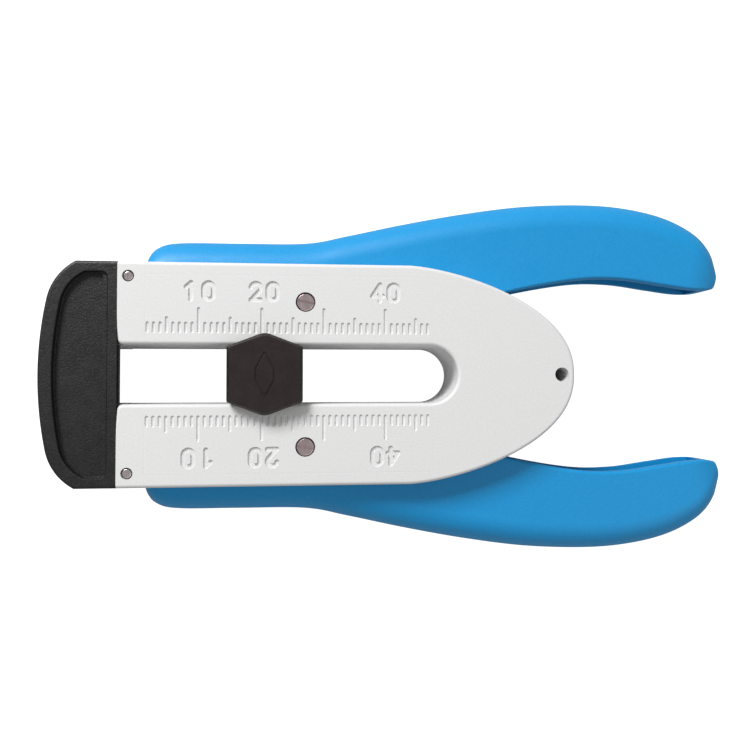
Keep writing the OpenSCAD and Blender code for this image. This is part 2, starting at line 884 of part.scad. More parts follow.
// Six-sided outline with blunt tips across the slot
module hexagon(l, w, side, tip) {
    polygon([[-l / 2, -side], [-l / 2, side], [-tip, w / 2], [tip, w / 2],
        [l / 2, side], [l / 2, -side], [tip, -w / 2], [-tip, -w / 2]]);
}

// The two screw places of the stop, counted from its middle
module at_stop_screws() {
    for (s = [-1, 1]) translate([stop_x + s * stop_screw_dx, 0]) children();
}

module stop_button() {
    color([0.2, 0.16, 0.155]) difference() {
        translate([stop_x, 0]) hull() {
            slab(body_t + button_gap, button_top - bevel)
                hexagon(button_l, button_w, button_side, blunt);
            slab(button_top - bevel, button_top)
                hexagon(button_l - 2 * bevel, button_w - 2 * bevel, button_side - bevel / 3, blunt);
        }
        translate([stop_x, 0]) slab(button_top - mark_d, button_top + past) difference() {
            hexagon(mark_w, mark_h, mark_side / 2, hair);
            hexagon(mark_w - 2 * mark_line, mark_h - 4 * mark_line, mark_side / 2, hair);
        }
        at_stop_screws() post([0, 0], stop_screw_r, 0, button_top - stop_skin);
    }
}

module stop_carrier() {
    color([0.2, 0.16, 0.155]) difference() {
        slab(carrier_z, body_t + button_gap) translate([stop_x, -carrier_w / 2]) {
            translate([-carrier_front, 0])
                square([carrier_front + carrier_rear - carrier_w / 2, carrier_w]);
            translate([carrier_rear - carrier_w / 2, carrier_w / 2]) circle(carrier_w / 2);
        }
        at_stop_screws() post([0, 0], stop_screw_r, 0, body_t + past);
        // pocket for the friction spring
        translate([stop_x - leaf_l / 2 - 0.2, carrier_w / 2 - leaf_pocket, mid_z - leaf_h / 2 - 0.2])
            cube([leaf_l + 0.4, leaf_pocket + past, leaf_h + 0.4]);
        along_fibre(pad_r, stop_x - carrier_front - past, stop_x - carrier_front + pad_seat);
    }
}

module stop_pad() {
    color("silver")
        along_fibre(pad_r, stop_x - cut_lead, stop_x - carrier_front + pad_seat - hair);
}

module stop_keeper() {
    head_r = stop_head_r + 2 * joint_gap;
    color([0.2, 0.16, 0.155]) difference() {
        slab(keeper_z, carrier_z) translate([stop_x, 0])
            hexagon(keeper_l, keeper_w, button_side, keeper_blunt);
        at_stop_screws() {
            post([0, 0], stop_screw_r, 0, body_t);
            post([0, 0], head_r, 0, keeper_z + stop_head_h + 2 * joint_gap);
        }
    }
}

module stop_screws() {
    z = keeper_z + 2 * joint_gap;
    color("silver") at_stop_screws()
        screw_down([0, 0], z, stop_head_r, stop_head_h, stop_screw_r,
            button_top - stop_skin - z - 4 * joint_gap);
}

// A bowed leaf in the carrier's pocket that rubs on the wall of the slot
module stop_spring() {
    back_y = carrier_w / 2 - leaf_pocket + joint_gap;
    front_y = carrier_w / 2 + slide_gap - joint_gap;
    low = mid_z - leaf_h / 2;
    color("silver") intersection() {
        difference() {
            post([stop_x, front_y - leaf_r], leaf_r, low, low + leaf_h);
            post([stop_x, front_y - leaf_r], leaf_r - leaf_t, low - past, low + leaf_h + past);
        }
        translate([stop_x - leaf_l / 2, back_y, low]) cube([leaf_l, leaf_r, leaf_h]);
    }
}

top_shell();
bottom_shell();
head_cap();
fibre_guide();
cap_screws();
tail_screw();
locating_dowels();
pivot_pin_left();
pivot_pin_right();
pivot_nuts();
return_spring_left();
return_spring_right();
handle_left();
blade_arm_left();
blade_left();
blade_screw_left();
arm_screws_left();
pivot_bush_left();
handle_right();
blade_arm_right();
blade_right();
blade_screw_right();
arm_screws_right();
pivot_bush_right();
stop_button();
stop_carrier();
stop_keeper();
stop_screws();
stop_pad();
stop_spring();
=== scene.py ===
# %% [markdown]
# # A fibre stripper
# This flat hand tool takes the coating off an optical fibre. The CAD model holds its sizes
# and its joints. This lesson gives it a skin: moulded shells with rounded edges, an engraved
# scale, sprung handles, turned screws, and the finishes of plastic, steel and brass.
#
# Every length below is in millimetres and is turned into metres when a mesh is made.

# %% Load the frame
import math
import bpy
import bmesh
from mathutils import Matrix, Vector


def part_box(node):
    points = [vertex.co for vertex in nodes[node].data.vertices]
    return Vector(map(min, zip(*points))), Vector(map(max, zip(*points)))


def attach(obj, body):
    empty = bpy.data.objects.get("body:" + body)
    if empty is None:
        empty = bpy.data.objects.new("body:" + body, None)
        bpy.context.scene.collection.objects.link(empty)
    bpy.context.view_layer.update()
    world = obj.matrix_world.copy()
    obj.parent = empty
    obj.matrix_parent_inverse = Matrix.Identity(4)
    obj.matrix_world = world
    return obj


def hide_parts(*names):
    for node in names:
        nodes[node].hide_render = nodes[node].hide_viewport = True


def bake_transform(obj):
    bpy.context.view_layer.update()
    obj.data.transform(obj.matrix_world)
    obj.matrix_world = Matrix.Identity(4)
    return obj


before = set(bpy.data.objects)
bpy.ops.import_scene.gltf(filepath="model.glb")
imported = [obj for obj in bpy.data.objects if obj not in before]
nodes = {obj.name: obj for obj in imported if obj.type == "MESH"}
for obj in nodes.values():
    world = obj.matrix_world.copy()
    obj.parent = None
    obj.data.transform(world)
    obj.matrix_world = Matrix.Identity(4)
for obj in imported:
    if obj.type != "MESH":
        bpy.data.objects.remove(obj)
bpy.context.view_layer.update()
MM = 0.001


def span(node):
    """Lowest and highest corner of a CAD node, in millimetres."""
    low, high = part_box(node)
    return low / MM, high / MM


# %% [markdown]
# ## Sizes taken from the frame
# A piece that replaces a CAD node has to lie where that node lies. So its main places come
# from the boxes of the nodes, and only sizes that no box gives are typed in.

# %% Main places
shell_low, shell_high = span("top_shell")
cap_low, cap_high = span("head_cap")
button_low, button_high = span("stop_button")
pin_low, pin_high = span("pivot_pin_left")
TONGUE = 2.9
FRONT, REAR = cap_high.x - TONGUE, shell_high.x
HALF_W, TOP, SPLIT = shell_high.y, shell_high.z, shell_low.z
MID = TOP / 2
NOSE = cap_low.x
PIVOT = ((pin_low.x + pin_high.x) / 2, (pin_low.y + pin_high.y) / 2)
STOP = (button_low.x + button_high.x) / 2
TAIL_LENGTH = 28.0
TAIL_START = REAR - TAIL_LENGTH
SLOT_R = 4.75
SLOT_END = 9.0
WALL = 2.0
SLOT_WALL = 1.6
ROOF = TOP - 2.0
FLOOR = 2.0
WINDOW_TOP = TOP - SPLIT
WINDOW_END = REAR - 8.0
print(f"housing {REAR - FRONT:.2f} x {2 * HALF_W:.2f} x {TOP:.2f} mm, stop at x = {STOP:.2f}")

# %% [markdown]
# ## Node trees
# The finishes, the table and the row of graduations are all trees of nodes. Two small classes
# build them: one wraps a number so that sums are written as sums, and one makes any node.

# %% Node trees
class Value:
    """A number in a node tree. Sums with it become maths nodes."""

    def __init__(self, graph, socket):
        self.graph, self.socket = graph, socket

    def maths(self, operation, other=None, swapped=False):
        sockets = {0: self} if other is None else {int(swapped): self, int(not swapped): other}
        kind = "ShaderNodeMath"
        return self.graph.node(kind, {"operation": operation}, sockets)

    def __add__(self, other):
        return self.maths("ADD", other)

    def __radd__(self, other):
        return self.maths("ADD", other, True)

    def __sub__(self, other):
        return self.maths("SUBTRACT", other)

    def __rsub__(self, other):
        return self.maths("SUBTRACT", other, True)

    def __mul__(self, other):
        return self.maths("MULTIPLY", other)

    def __rmul__(self, other):
        return self.maths("MULTIPLY", other, True)

    def __truediv__(self, other):
        return self.maths("DIVIDE", other)

    def __rtruediv__(self, other):
        return self.maths("DIVIDE", other, True)

    def __mod__(self, other):
        return self.maths("MODULO", other)

    def __lt__(self, other):
        return self.maths("LESS_THAN", other)

    def __gt__(self, other):
        return self.maths("GREATER_THAN", other)

    def __abs__(self):
        return self.maths("ABSOLUTE")


class Graph:
    """A node tree under construction. One method makes any node and links its sockets."""

    def __init__(self, tree):
        self.tree = tree

    def node(self, kind, settings=None, sockets=None, output=0):
        made = self.tree.nodes.new(kind)
        for name, value in (settings or {}).items():
            setattr(made, name, value)
        for name, value in (sockets or {}).items():
            if isinstance(value, Value):
                self.tree.links.new(value.socket, made.inputs[name])
            else:
                made.inputs[name].default_value = value
        return Value(self, made.outputs[output])

print("values and graphs ready")

# %% [markdown]
# ## Camera, light and floor
# The camera stands almost straight above the tool, a hand's width and a half away, so the
# perspective is strong: the walls of the slot show on the far side. The tool lies on a white
# backlit table, the usual bed for a catalogue picture, under a large soft light from the
# upper left.

# %% Camera
camera_data = bpy.data.cameras.new("camera")
camera_data.sensor_width = 36.0
camera_data.lens = 43.04
camera_data.shift_x = -0.0648
camera_data.shift_y = -0.0188
camera_data.clip_start = 0.01
camera = bpy.data.objects.new("camera", camera_data)
bpy.context.scene.collection.objects.link(camera)
turn = (Matrix.Rotation(-0.0018, 3, "Z") @ Matrix.Rotation(-0.1232, 3, "Y")
        @ Matrix.Rotation(0.0316, 3, "X"))
camera.matrix_world = Matrix.Translation(Vector((-14.95, -2.42, 164.75)) * MM) @ turn.to_4x4()
bpy.context.scene.camera = camera
bpy.context.scene.view_settings.view_transform = "Standard"


# %% Lights and floor
def softbox(name, place, target, size, power):
    """A square area light at place, in metres, that faces target."""
    data = bpy.data.lights.new(name, "AREA")
    data.size = size
    data.energy = power
    lamp = bpy.data.objects.new(name, data)
    bpy.context.scene.collection.objects.link(lamp)
    lamp.location = place
    lamp.rotation_euler = (Vector(target) - Vector(place)).to_track_quat("-Z", "Y").to_euler()


softbox("key_light", (-0.32, 0.46, 0.44), (0, 0, 0), 0.26, 5.1)
softbox("fill_light", (0.45, -0.25, 0.50), (0, 0, 0), 0.50, 0.6)

world = bpy.data.worlds.new("studio")
world.use_nodes = True
sky = world.node_tree.nodes["Background"]
sky.inputs["Color"].default_value = (1.0, 0.99, 0.98, 1.0)
sky.inputs["Strength"].default_value = 0.34
bpy.context.scene.world = world

TABLE_HALF, TABLE_Z = 1.6, -0.0002
TABLE_GLOW = 0.12
floor_mesh = bpy.data.meshes.new("table")
table_corners = [(x * TABLE_HALF, y * TABLE_HALF, TABLE_Z)
                 for x, y in ((-1, -1), (1, -1), (1, 1), (-1, 1))]
floor_mesh.from_pydata(table_corners, [], [(0, 1, 2, 3)])
floor = bpy.data.objects.new("table", floor_mesh)
bpy.context.scene.collection.objects.link(floor)
table_finish = bpy.data.materials.new("backlit_table")
table_finish.use_nodes = True
table_tree = table_finish.node_tree
table_graph = Graph(table_tree)
table_shader = table_tree.nodes["Principled BSDF"]
table_shader.inputs["Base Color"].default_value = (0.35, 0.35, 0.35, 1.0)
table_shader.inputs["Roughness"].default_value = 0.9
table_shader.inputs["Emission Strength"].default_value = 1.0
straight = table_graph.node("ShaderNodeLightPath", output="Is Camera Ray")
glow = straight * (1.0 - TABLE_GLOW) + TABLE_GLOW
table_tree.links.new(glow.socket, table_shader.inputs["Emission Color"])
floor_mesh.materials.append(table_finish)
print("camera, two soft lights and a backlit table")

# %% [markdown]
# ## Outlines
# The plan of the housing is a straight body with a tail on a superellipse, and the plan of
# the cap is a flat bow between two corner arcs. Both are closed loops of points, counter-
# clockwise, and one function moves a loop inwards. Straight edges on a joint between two
# parts can stay where they are.

# %% Loops of points
TAIL_LONG, TAIL_CROSS = 1.48, 2.2
BOW_R, CORNER_R, CORNER_IN = 60.0, 9.0, 7.85


def arc(centre, radius, first, last, count):
    """Points on an arc, angles in degrees, both ends included."""
    angles = [math.radians(first + (last - first) * i / count) for i in range(count + 1)]
    return [(centre[0] + radius * math.cos(a), centre[1] + radius * math.sin(a)) for a in angles]


def circle(centre, radius, count=40):
    return arc(centre, radius, 0, 360, count)[:-1]


def tail(inset=0.0, count=72):
    """The rounded tail from the right side round to the left, inset from the outline."""
    points = []
    for i in range(count + 1):
        a = math.pi * i / count
        s, c = math.sin(a), math.cos(a)
        x = TAIL_START + (TAIL_LENGTH - inset) * s ** (2 / TAIL_LONG)
        y = (HALF_W - inset) * -math.copysign(abs(c) ** (2 / TAIL_CROSS), c)
        points.append((x, y))
    return points


def housing_plan(inset=0.0, front=FRONT, slot_r=SLOT_R, corner=1.0):
    """Both sides, the tail, and the slot as a notch that is open at the front."""
    side, middle = HALF_W - inset, SLOT_END - SLOT_R
    upper = arc((front + corner, slot_r + corner), corner, 180, 270, 6)
    end = arc((middle, 0), slot_r, 90, -90, 32)
    lower = [(x, -y) for x, y in reversed(upper)]
    return [(front, -side)] + tail(inset) + [(front, side)] + upper + end + lower


def slot_plan(grow=0.0, front=FRONT - 1):
    r = SLOT_R + grow
    return [(front, -r)] + arc((SLOT_END - SLOT_R, 0), r, -90, 90, 32) + [(front, r)]


def cap_plan(side=HALF_W, nose=NOSE, rear=FRONT):
    """The cap: its bow always has its middle BOW_R behind the true nose."""
    inset, corner_in = nose - NOSE, CORNER_IN
    corner_y = HALF_W - corner_in
    corner_a = math.degrees(math.asin(corner_y / (BOW_R - CORNER_R)))
    corner_x = NOSE + BOW_R - (BOW_R - CORNER_R) * math.cos(math.radians(corner_a))
    r = CORNER_R - inset
    last = 180 - math.degrees(math.asin(min(1.0, (side - corner_y) / r)))
    bow = arc((NOSE + BOW_R, 0), BOW_R - inset, 180 - corner_a, 180 + corner_a, 48)
    upper = arc((corner_x, corner_y), r, last, 180 - corner_a, 20)
    lower = [(x, -y) for x, y in reversed(upper)]
    return [(rear, -side), (rear, side)] + upper[:-1] + bow + lower[1:]


def inset_loop(loop, distance, still=None):
    """Moves a counter-clockwise loop inwards. Edges on the line x = still stay in place."""
    moved, n = [], len(loop)
    for i, here in enumerate(loop):
        sides = []
        for a, b in ((loop[i - 1], here), (here, loop[(i + 1) % n])):
            d = Vector((b[0] - a[0], b[1] - a[1])).normalized()
            fixed = still is not None and abs(a[0] - still) < 1e-6 and abs(b[0] - still) < 1e-6
            sides.append((-d.y, d.x, 0.0 if fixed else distance))
        (ax, ay, ad), (bx, by, bd) = sides
        cross = ax * by - ay * bx
        if abs(cross) < 0.05:
            shift = ((ax + bx) * (ad + bd) / 4, (ay + by) * (ad + bd) / 4)
        else:
            shift = ((ad * by - bd * ay) / cross, (ax * bd - bx * ad) / cross)
        moved.append((here[0] + shift[0], here[1] + shift[1]))
    return moved


print("housing outline:", len(housing_plan()), "points; cap outline:", len(cap_plan()), "points")

# %% [markdown]
# ## Solids from plans
# A moulded part is mostly a plan raised to a height, with its edges rounded. `raised` builds
# such a solid from a loop and a profile: pairs of inset and height, from the bottom ring to
# the top ring. Holes and hollows are solids of the same kind, taken away with a boolean, so
# that each piece stays one closed mesh with true rounded edges.


# %% Building and cutting
SAME_POINT = 1e-7
OVERLAP = 0.5


def mesh_object(name, bm):
    """Joins touching points, turns faces outwards and makes an object, in metres."""
    bmesh.ops.remove_doubles(bm, verts=bm.verts, dist=SAME_POINT)
    bmesh.ops.recalc_face_normals(bm, faces=bm.faces)
    mesh = bpy.data.meshes.new(name)
    bm.to_mesh(mesh)
    bm.free()
    piece = bpy.data.objects.new(name, mesh)
    bpy.context.scene.collection.objects.link(piece)
    return piece


def rounded(low, high, r_low=0.0, r_high=0.0, steps=5):
    """A profile with a rounded lower and upper edge."""
    profile = []
    for i in range(steps + 1 if r_low else 1):
        a = math.radians(90 * i / steps)
        profile.append((r_low * (1 - math.sin(a)), low + r_low * (1 - math.cos(a))))
    for i in range(steps + 1 if r_high else 1):
        a = math.radians(90 * i / steps)
        profile.append((r_high * (1 - math.cos(a)), high - r_high * (1 - math.sin(a))))
    return profile


def raised(name, loop, profile, still=None):
    """A closed solid over a plan, in millimetres. The plan may be a function of the inset."""
    bm = bmesh.new()
    rings = []
    for inset, z in profile:
        if callable(loop):
            ring = loop(inset)
        else:
            ring = inset_loop(loop, inset, still) if inset else loop
        rings.append([bm.verts.new((x * MM, y * MM, z * MM)) for x, y in ring])
    n = len(rings[0])
    for lower, upper in zip(rings, rings[1:]):
        for i in range(n):
            j = (i + 1) % n
            bm.faces.new((lower[i], lower[j], upper[j], upper[i]))
    bm.faces.new(list(reversed(rings[0])))
    bm.faces.new(rings[-1])
    return mesh_object(name, bm)


def post(centre, radius, low, high, edge=0.0, count=40):
    return raised("post", circle(centre, radius, count), rounded(low, high, 0, edge))


def block(x0, x1, y0, y1, low, high):
    return raised("block", [(x0, y0), (x1, y0), (x1, y1), (x0, y1)], rounded(low, high))


def settle(piece):
    """Turns what a piece's modifiers make into its own plain mesh."""
    view = bpy.context.evaluated_depsgraph_get()
    made = bpy.data.meshes.new_from_object(piece.evaluated_get(view))
    old = piece.data
    piece.modifiers.clear()
    piece.data = made
    bpy.data.meshes.remove(old)


def combine(piece, tools, operation):
    """Adds solids to a piece (UNION) or takes them away (DIFFERENCE); the tools are used up."""
    for tool in tools:
        modifier = piece.modifiers.new("combine", "BOOLEAN")
        modifier.object = tool
        modifier.operation = operation
        modifier.solver = "MANIFOLD"
    settle(piece)
    for tool in tools:
        bpy.data.meshes.remove(tool.data)
    return piece


def turned(piece, matrix):
    piece.data.transform(matrix)
    return piece


def along(axis, centre, radius, low, high, count=32):
    """A round bar along x or y. centre is where it crosses: (y, z) or (x, z)."""
    bar = post((0, 0), radius, low, high, count=count)
    if axis == "x":
        spin = Matrix.Rotation(math.radians(90), 4, "Y")
        shift = Vector((0, centre[0], centre[1]))
    else:
        spin = Matrix.Rotation(math.radians(-90), 4, "X")
        shift = Vector((centre[0], 0, centre[1]))
    return turned(bar, Matrix.Translation(shift * MM) @ spin)


def both(make, *places):
    """The same solid on the left and on the right of the middle line."""
    return [make((x, side * y), *rest) for x, y, *rest in places for side in (1, -1)]


def report(piece):
    """Prints a piece's size as a mesh, and whether it is closed and free of folds."""
    mesh = piece.data
    bm = bmesh.new()
    bm.from_mesh(mesh)
    open_edges = sum(1 for e in bm.edges if len(e.link_faces) != 2)
    bm.free()
    mesh.calc_loop_triangles()
    folds = sum(1 for t in mesh.loop_triangles if t.area > 1e-9
                and t.normal.dot(mesh.polygons[t.polygon_index].normal) < 0.5)
    print(f"{piece.name}: {len(mesh.polygons)} faces, {open_edges} open edges, {folds} folds")


# %% [markdown]
# ## The two shells
# The housing is closed along a seam that runs round at a quarter of its height. The lower
# shell is a tray; the upper shell carries the scale, the walls of the slot, and long side
# windows that the handles swing through. Both are cut from one plan, so they always match.

# %% Upper shell
EDGE = 0.6
CAP_SCREW = (FRONT + 1.65, HALF_W - 2.35)
HANG = (REAR - 2.26, 0.0)
TAIL_SCREW = (SLOT_END + SLOT_WALL + 4.4, 0.0)
DOWEL = (HANG[0] - 5.7, 4.6)
SPRING_X = SLOT_END - 7.1
REST = (FRONT + 8.0, FRONT + 11.0)
REST_Y, REST_LOW = 7.65, 10
SLOT_FACE = SLOT_R + SLOT_WALL
PIVOT_BOSS, DOWEL_BOSS, TAIL_BOSS, HANG_BOSS = 3.1, 2.1, 2.6, 2.1
PEG_R, PEG_L = 1.4, 2
PIN_HOLE, PIN_HEAD_HOLE, PIN_SINK = 1.45, 1.6, 1.9
SCREW_HOLE, SCREW_HEAD_HOLE, SCREW_SINK = 0.55, 0.94, 1.6
DOWEL_R, DOWEL_DEEP, HANG_R = 1.0, 2.5, 1.18
SLOT_WALL_TOP = 15.15


def hollow(low, high):
    """The inside of a shell between the outer wall and the wall round the slot."""
    plan = housing_plan(WALL, FRONT - 1, SLOT_R + SLOT_WALL, 0.01)
    return raised("hollow", plan, rounded(low, high))


def slot_walls(front, low, high):
    """The walls of the slot run on under the cap."""
    return [block(front, FRONT + 0.5, y, y + SLOT_WALL, low, high)
            for y in (SLOT_R, -SLOT_R - SLOT_WALL)]


def window(side):
    """A long opening in one side, down to the seam."""
    inner = [p for p in tail(WALL + 1) if p[1] >= 0 and p[0] < WINDOW_END - 0.3]
    inner = [(FRONT - 1, HALF_W - WALL - 1)] + list(reversed(inner))
    x, y = inner[-1]
    plan = inner + [(WINDOW_END, y), (WINDOW_END, HALF_W + 1), (FRONT - 1, HALF_W + 1)]
    cutter = raised("window", plan, rounded(SPLIT - 1, WINDOW_TOP))
    if side < 0:
        cutter.data.transform(Matrix.Rotation(math.pi, 4, "X"))
        cutter.data.transform(Matrix.Translation((0, 0, (WINDOW_TOP + SPLIT - 1) * MM)))
    return cutter


top = raised("housing_top", housing_plan(), rounded(SPLIT, TOP, 0.12, EDGE), still=FRONT)
combine(top, [hollow(SPLIT - 1, ROOF), window(1), window(-1)], "DIFFERENCE")
combine(top, both(post, (*PIVOT, PIVOT_BOSS, WINDOW_TOP - 0.15, ROOF + OVERLAP))
        + both(post, (*DOWEL, DOWEL_BOSS, SPLIT, ROOF + OVERLAP))
        + [post(TAIL_SCREW, TAIL_BOSS, SPLIT, ROOF + OVERLAP),
           post(HANG, HANG_BOSS, SPLIT, ROOF + OVERLAP),
           along("y", (SPRING_X, MID), PEG_R, SLOT_FACE - OVERLAP, SLOT_FACE + PEG_L),
           along("y", (SPRING_X, MID), PEG_R, -SLOT_FACE - PEG_L, OVERLAP - SLOT_FACE),
           block(*REST, SLOT_FACE - OVERLAP, REST_Y, REST_LOW, ROOF + OVERLAP),
           block(*REST, -REST_Y, OVERLAP - SLOT_FACE, SPLIT, TOP - REST_LOW)]
        + slot_walls(FRONT - 2, SPLIT, SLOT_WALL_TOP), "UNION")
combine(top, both(post, (*PIVOT, PIN_HOLE, 0, TOP + 1),
                  (*PIVOT, PIN_HEAD_HOLE, TOP - PIN_SINK, TOP + 1),
                  (*CAP_SCREW, SCREW_HOLE, 0, TOP + 1),
                  (*CAP_SCREW, SCREW_HEAD_HOLE, TOP - SCREW_SINK, TOP + 1),
                  (*DOWEL, DOWEL_R, 0, SPLIT + DOWEL_DEEP))
        + [post(HANG, HANG_R, -1, TOP + 1), post(TAIL_SCREW, 0.9, -1, ROOF - 2)], "DIFFERENCE")
report(top)

# %% Lower shell
TRACK_HALF, TRACK_DEEP = 6.6, 1.7
SHELF, SHELF_HALF = 3.7, 8.1
NUT_R = 2.1
TAIL_HOLE, TAIL_HEAD, TAIL_SINK = 0.95, 1.8, 1.2
bottom = raised("housing_bottom", housing_plan(), rounded(0, SPLIT, EDGE, 0.12), still=FRONT)
combine(bottom, [hollow(FLOOR, SPLIT + 1)], "DIFFERENCE")
shelf_end = SLOT_END + SLOT_WALL
shelf_plan = [(FRONT, -SHELF_HALF), (shelf_end, -SHELF_HALF), (shelf_end, SHELF_HALF),
              (FRONT, SHELF_HALF)]
combine(bottom, both(post, (*PIVOT, PIVOT_BOSS, FLOOR - OVERLAP, SPLIT + 0.15),
                     (*DOWEL, DOWEL_BOSS, FLOOR - OVERLAP, SPLIT))
        + [raised("shelf", shelf_plan, rounded(FLOOR - OVERLAP, SHELF)),
           post(TAIL_SCREW, TAIL_BOSS, FLOOR - OVERLAP, SPLIT),
           post(HANG, HANG_BOSS, FLOOR - OVERLAP, SPLIT)]
        + slot_walls(FRONT - 3.55, 0, SPLIT), "UNION")
combine(bottom, both(post, (*PIVOT, NUT_R, 1, TOP), (*CAP_SCREW, SCREW_HOLE, -1, TOP),
                     (*CAP_SCREW, SCREW_HEAD_HOLE, -1, 1),
                     (*DOWEL, DOWEL_R, SPLIT - DOWEL_DEEP, TOP))
        + [raised("slot", slot_plan(), rounded(-1, TOP)),
           raised("track", slot_plan(TRACK_HALF - SLOT_R), rounded(-1, TRACK_DEEP)),
           post(HANG, HANG_R, -1, TOP), post(TAIL_SCREW, TAIL_HOLE, -1, TOP),
           post(TAIL_SCREW, TAIL_HEAD, -1, TAIL_SINK)], "DIFFERENCE")
report(bottom)

# %% [markdown]
# ## The cap
# The black cap closes the head. Its top is sunk inside a rim, with a low step at the rear,
# and a lip hides the gap where the slot begins. Behind the lip the slot runs on under the
# cap as an open chute, so that stripped coating falls out. The rim's inner edge flares a
# little, as a moulded edge does.

# %% Cap
GUIDE_END = span("fibre_guide")[1].x
GUIDE_HOLE, THREAD_HOLE, THREAD_DEEP = 1.5, 0.5, 5
CAP_WALL = 2.0
RIM, SIDE_RIM, REAR_RIM, LEDGE, PANEL = 2.25, 1.75, 2.3, 0.75, 1.2
CAP_ROOF = TOP - PANEL - CAP_WALL + 0.4
LIP, LIP_LOW, LIP_TOP = 0.2, TOP - 1.8, TOP - 0.6
CHUTE, CHUTE_HALF = FRONT - 3.6, SLOT_FACE + 0.05
TONGUE_Y, GAP = HALF_W - 5, 0.05


def sunk_plan(rear, corner=0.9):
    """The panel inside the rim, with rounded rear corners."""
    side = HALF_W - SIDE_RIM
    right = arc((rear - corner, corner - side), corner, -90, 0, 6)
    left = arc((rear - corner, side - corner), corner, 0, 90, 6)
    return right + left + cap_plan(side, NOSE + RIM, rear)[2:]


def sunk(rear, depth):
    flare = [(0.12, TOP - depth), (0.0, TOP - depth + 0.12), (0.0, TOP - 0.3),
             (-0.05, TOP - 0.13), (-0.14, TOP - 0.03), (-0.28, TOP), (-0.28, TOP + 1)]
    return raised("sunk", sunk_plan(rear), flare)


def tongues(low, high, side):
    return [block(FRONT - 1, FRONT + TONGUE, TONGUE_Y, side, low, high),
            block(FRONT - 1, FRONT + TONGUE, -side, -TONGUE_Y, low, high)]


cap = raised("cap", cap_plan(), rounded(0, TOP, EDGE, 0.5), still=FRONT)
combine(cap, tongues(SPLIT + GAP, WINDOW_TOP - GAP, HALF_W)
        + tongues(FLOOR + GAP, ROOF - GAP, HALF_W - WALL - GAP)
        + [block(FRONT - 1, FRONT + LIP, GAP - SLOT_R, SLOT_R - GAP, LIP_LOW, LIP_TOP)], "UNION")
cap_inside = cap_plan(HALF_W - CAP_WALL, NOSE + CAP_WALL, FRONT - 1)
combine(cap, [raised("inside", cap_inside, rounded(CAP_WALL, CAP_ROOF)),
              block(FRONT - 1.5, FRONT + 9, -TONGUE_Y, TONGUE_Y, CAP_WALL, CAP_ROOF),
              block(CHUTE, FRONT + 9, -CHUTE_HALF, CHUTE_HALF, -1, CAP_ROOF),
              block(FRONT - REAR_RIM + LEDGE, FRONT + 9, -CHUTE_HALF, CHUTE_HALF,
                    CAP_WALL, LIP_LOW),
              sunk(FRONT - REAR_RIM, PANEL), sunk(FRONT - REAR_RIM + LEDGE, PANEL / 2),
              along("x", (0, MID), GUIDE_HOLE, NOSE - 1, GUIDE_END)]
        + both(post, (*CAP_SCREW, THREAD_HOLE, 0, FLOOR + THREAD_DEEP),
               (*CAP_SCREW, THREAD_HOLE, ROOF - THREAD_DEEP, TOP)),
        "DIFFERENCE")
report(cap)

# %% [markdown]
# ## The handles
# Each handle is a long lever with a half round outer side. It is hollow between two
# flanges, like many moulded grips, and closed at the tip. Its shape comes from stations: a
# point on the outer edge and one on the inner edge, joined by a smooth curve, with a
# cross-section at each place. The second handle is the first one turned over about the
# fibre.

# %% Handle form
handle_low, handle_high = span("handle_left")
HANDLE_H = handle_high.z - handle_low.z
OUTER_Y = HALF_W + 4.35
TIP = handle_high.x - PIVOT[0]
STATIONS = [((-26.45, -5.9), (-26.45, -11.9)), ((-26.2, -2.8), (-25.5, -11.9)),
            ((-24.5, -0.8), (-23.5, -11.9)), ((-20.8, 0), (-20, -11.9)),
            ((-11, 0.1), (-11, -11.9)), ((0, 0.3), (0, -11.9)),
            ((7, 1.7), (7, -11.9)), ((16.4, 3.85), (17, -11.8)),
            ((27, 5.95), (27, -10.2)), ((38, 7.55), (37, -7.6)),
            ((49, 8.1), (47.5, -5.8)), ((57, 7.6), (55, -5.7)),
            ((64, 6.05), (62, -6.6)), ((69.4, 3.4), (67, -7.25)),
            ((72.6, 0), (70.5, -7.35)), ((TIP, -4.2), (TIP - 1.15, -6.9))]
FLANGE, OUTER_WALL = 1.75, 2.2
CHANNEL_LOW, CHANNEL_HIGH = MID - HANDLE_H / 2 + FLANGE, MID + HANDLE_H / 2 - FLANGE
FIRST, LAST = 1.0, 13.667
ARM_Y, ARM_W = 9.3, 3.2


def station(t, side):
    """A point at t stations along the outer (0) or inner (1) edge, on a Catmull-Rom curve."""
    last = len(STATIONS) - 1
    i = min(int(t), last - 1)
    f = t - i
    a, b, c, d = (Vector(STATIONS[max(0, min(last, k))][side]) for k in (i - 1, i, i + 1, i + 2))
    p = 0.5 * (2 * b + (c - a) * f + (2 * a - 5 * b + 4 * c - d) * f * f
               + (3 * b - a - 3 * c + d) * f ** 3)
    return Vector((PIVOT[0] + p.x, OUTER_Y + p.y))


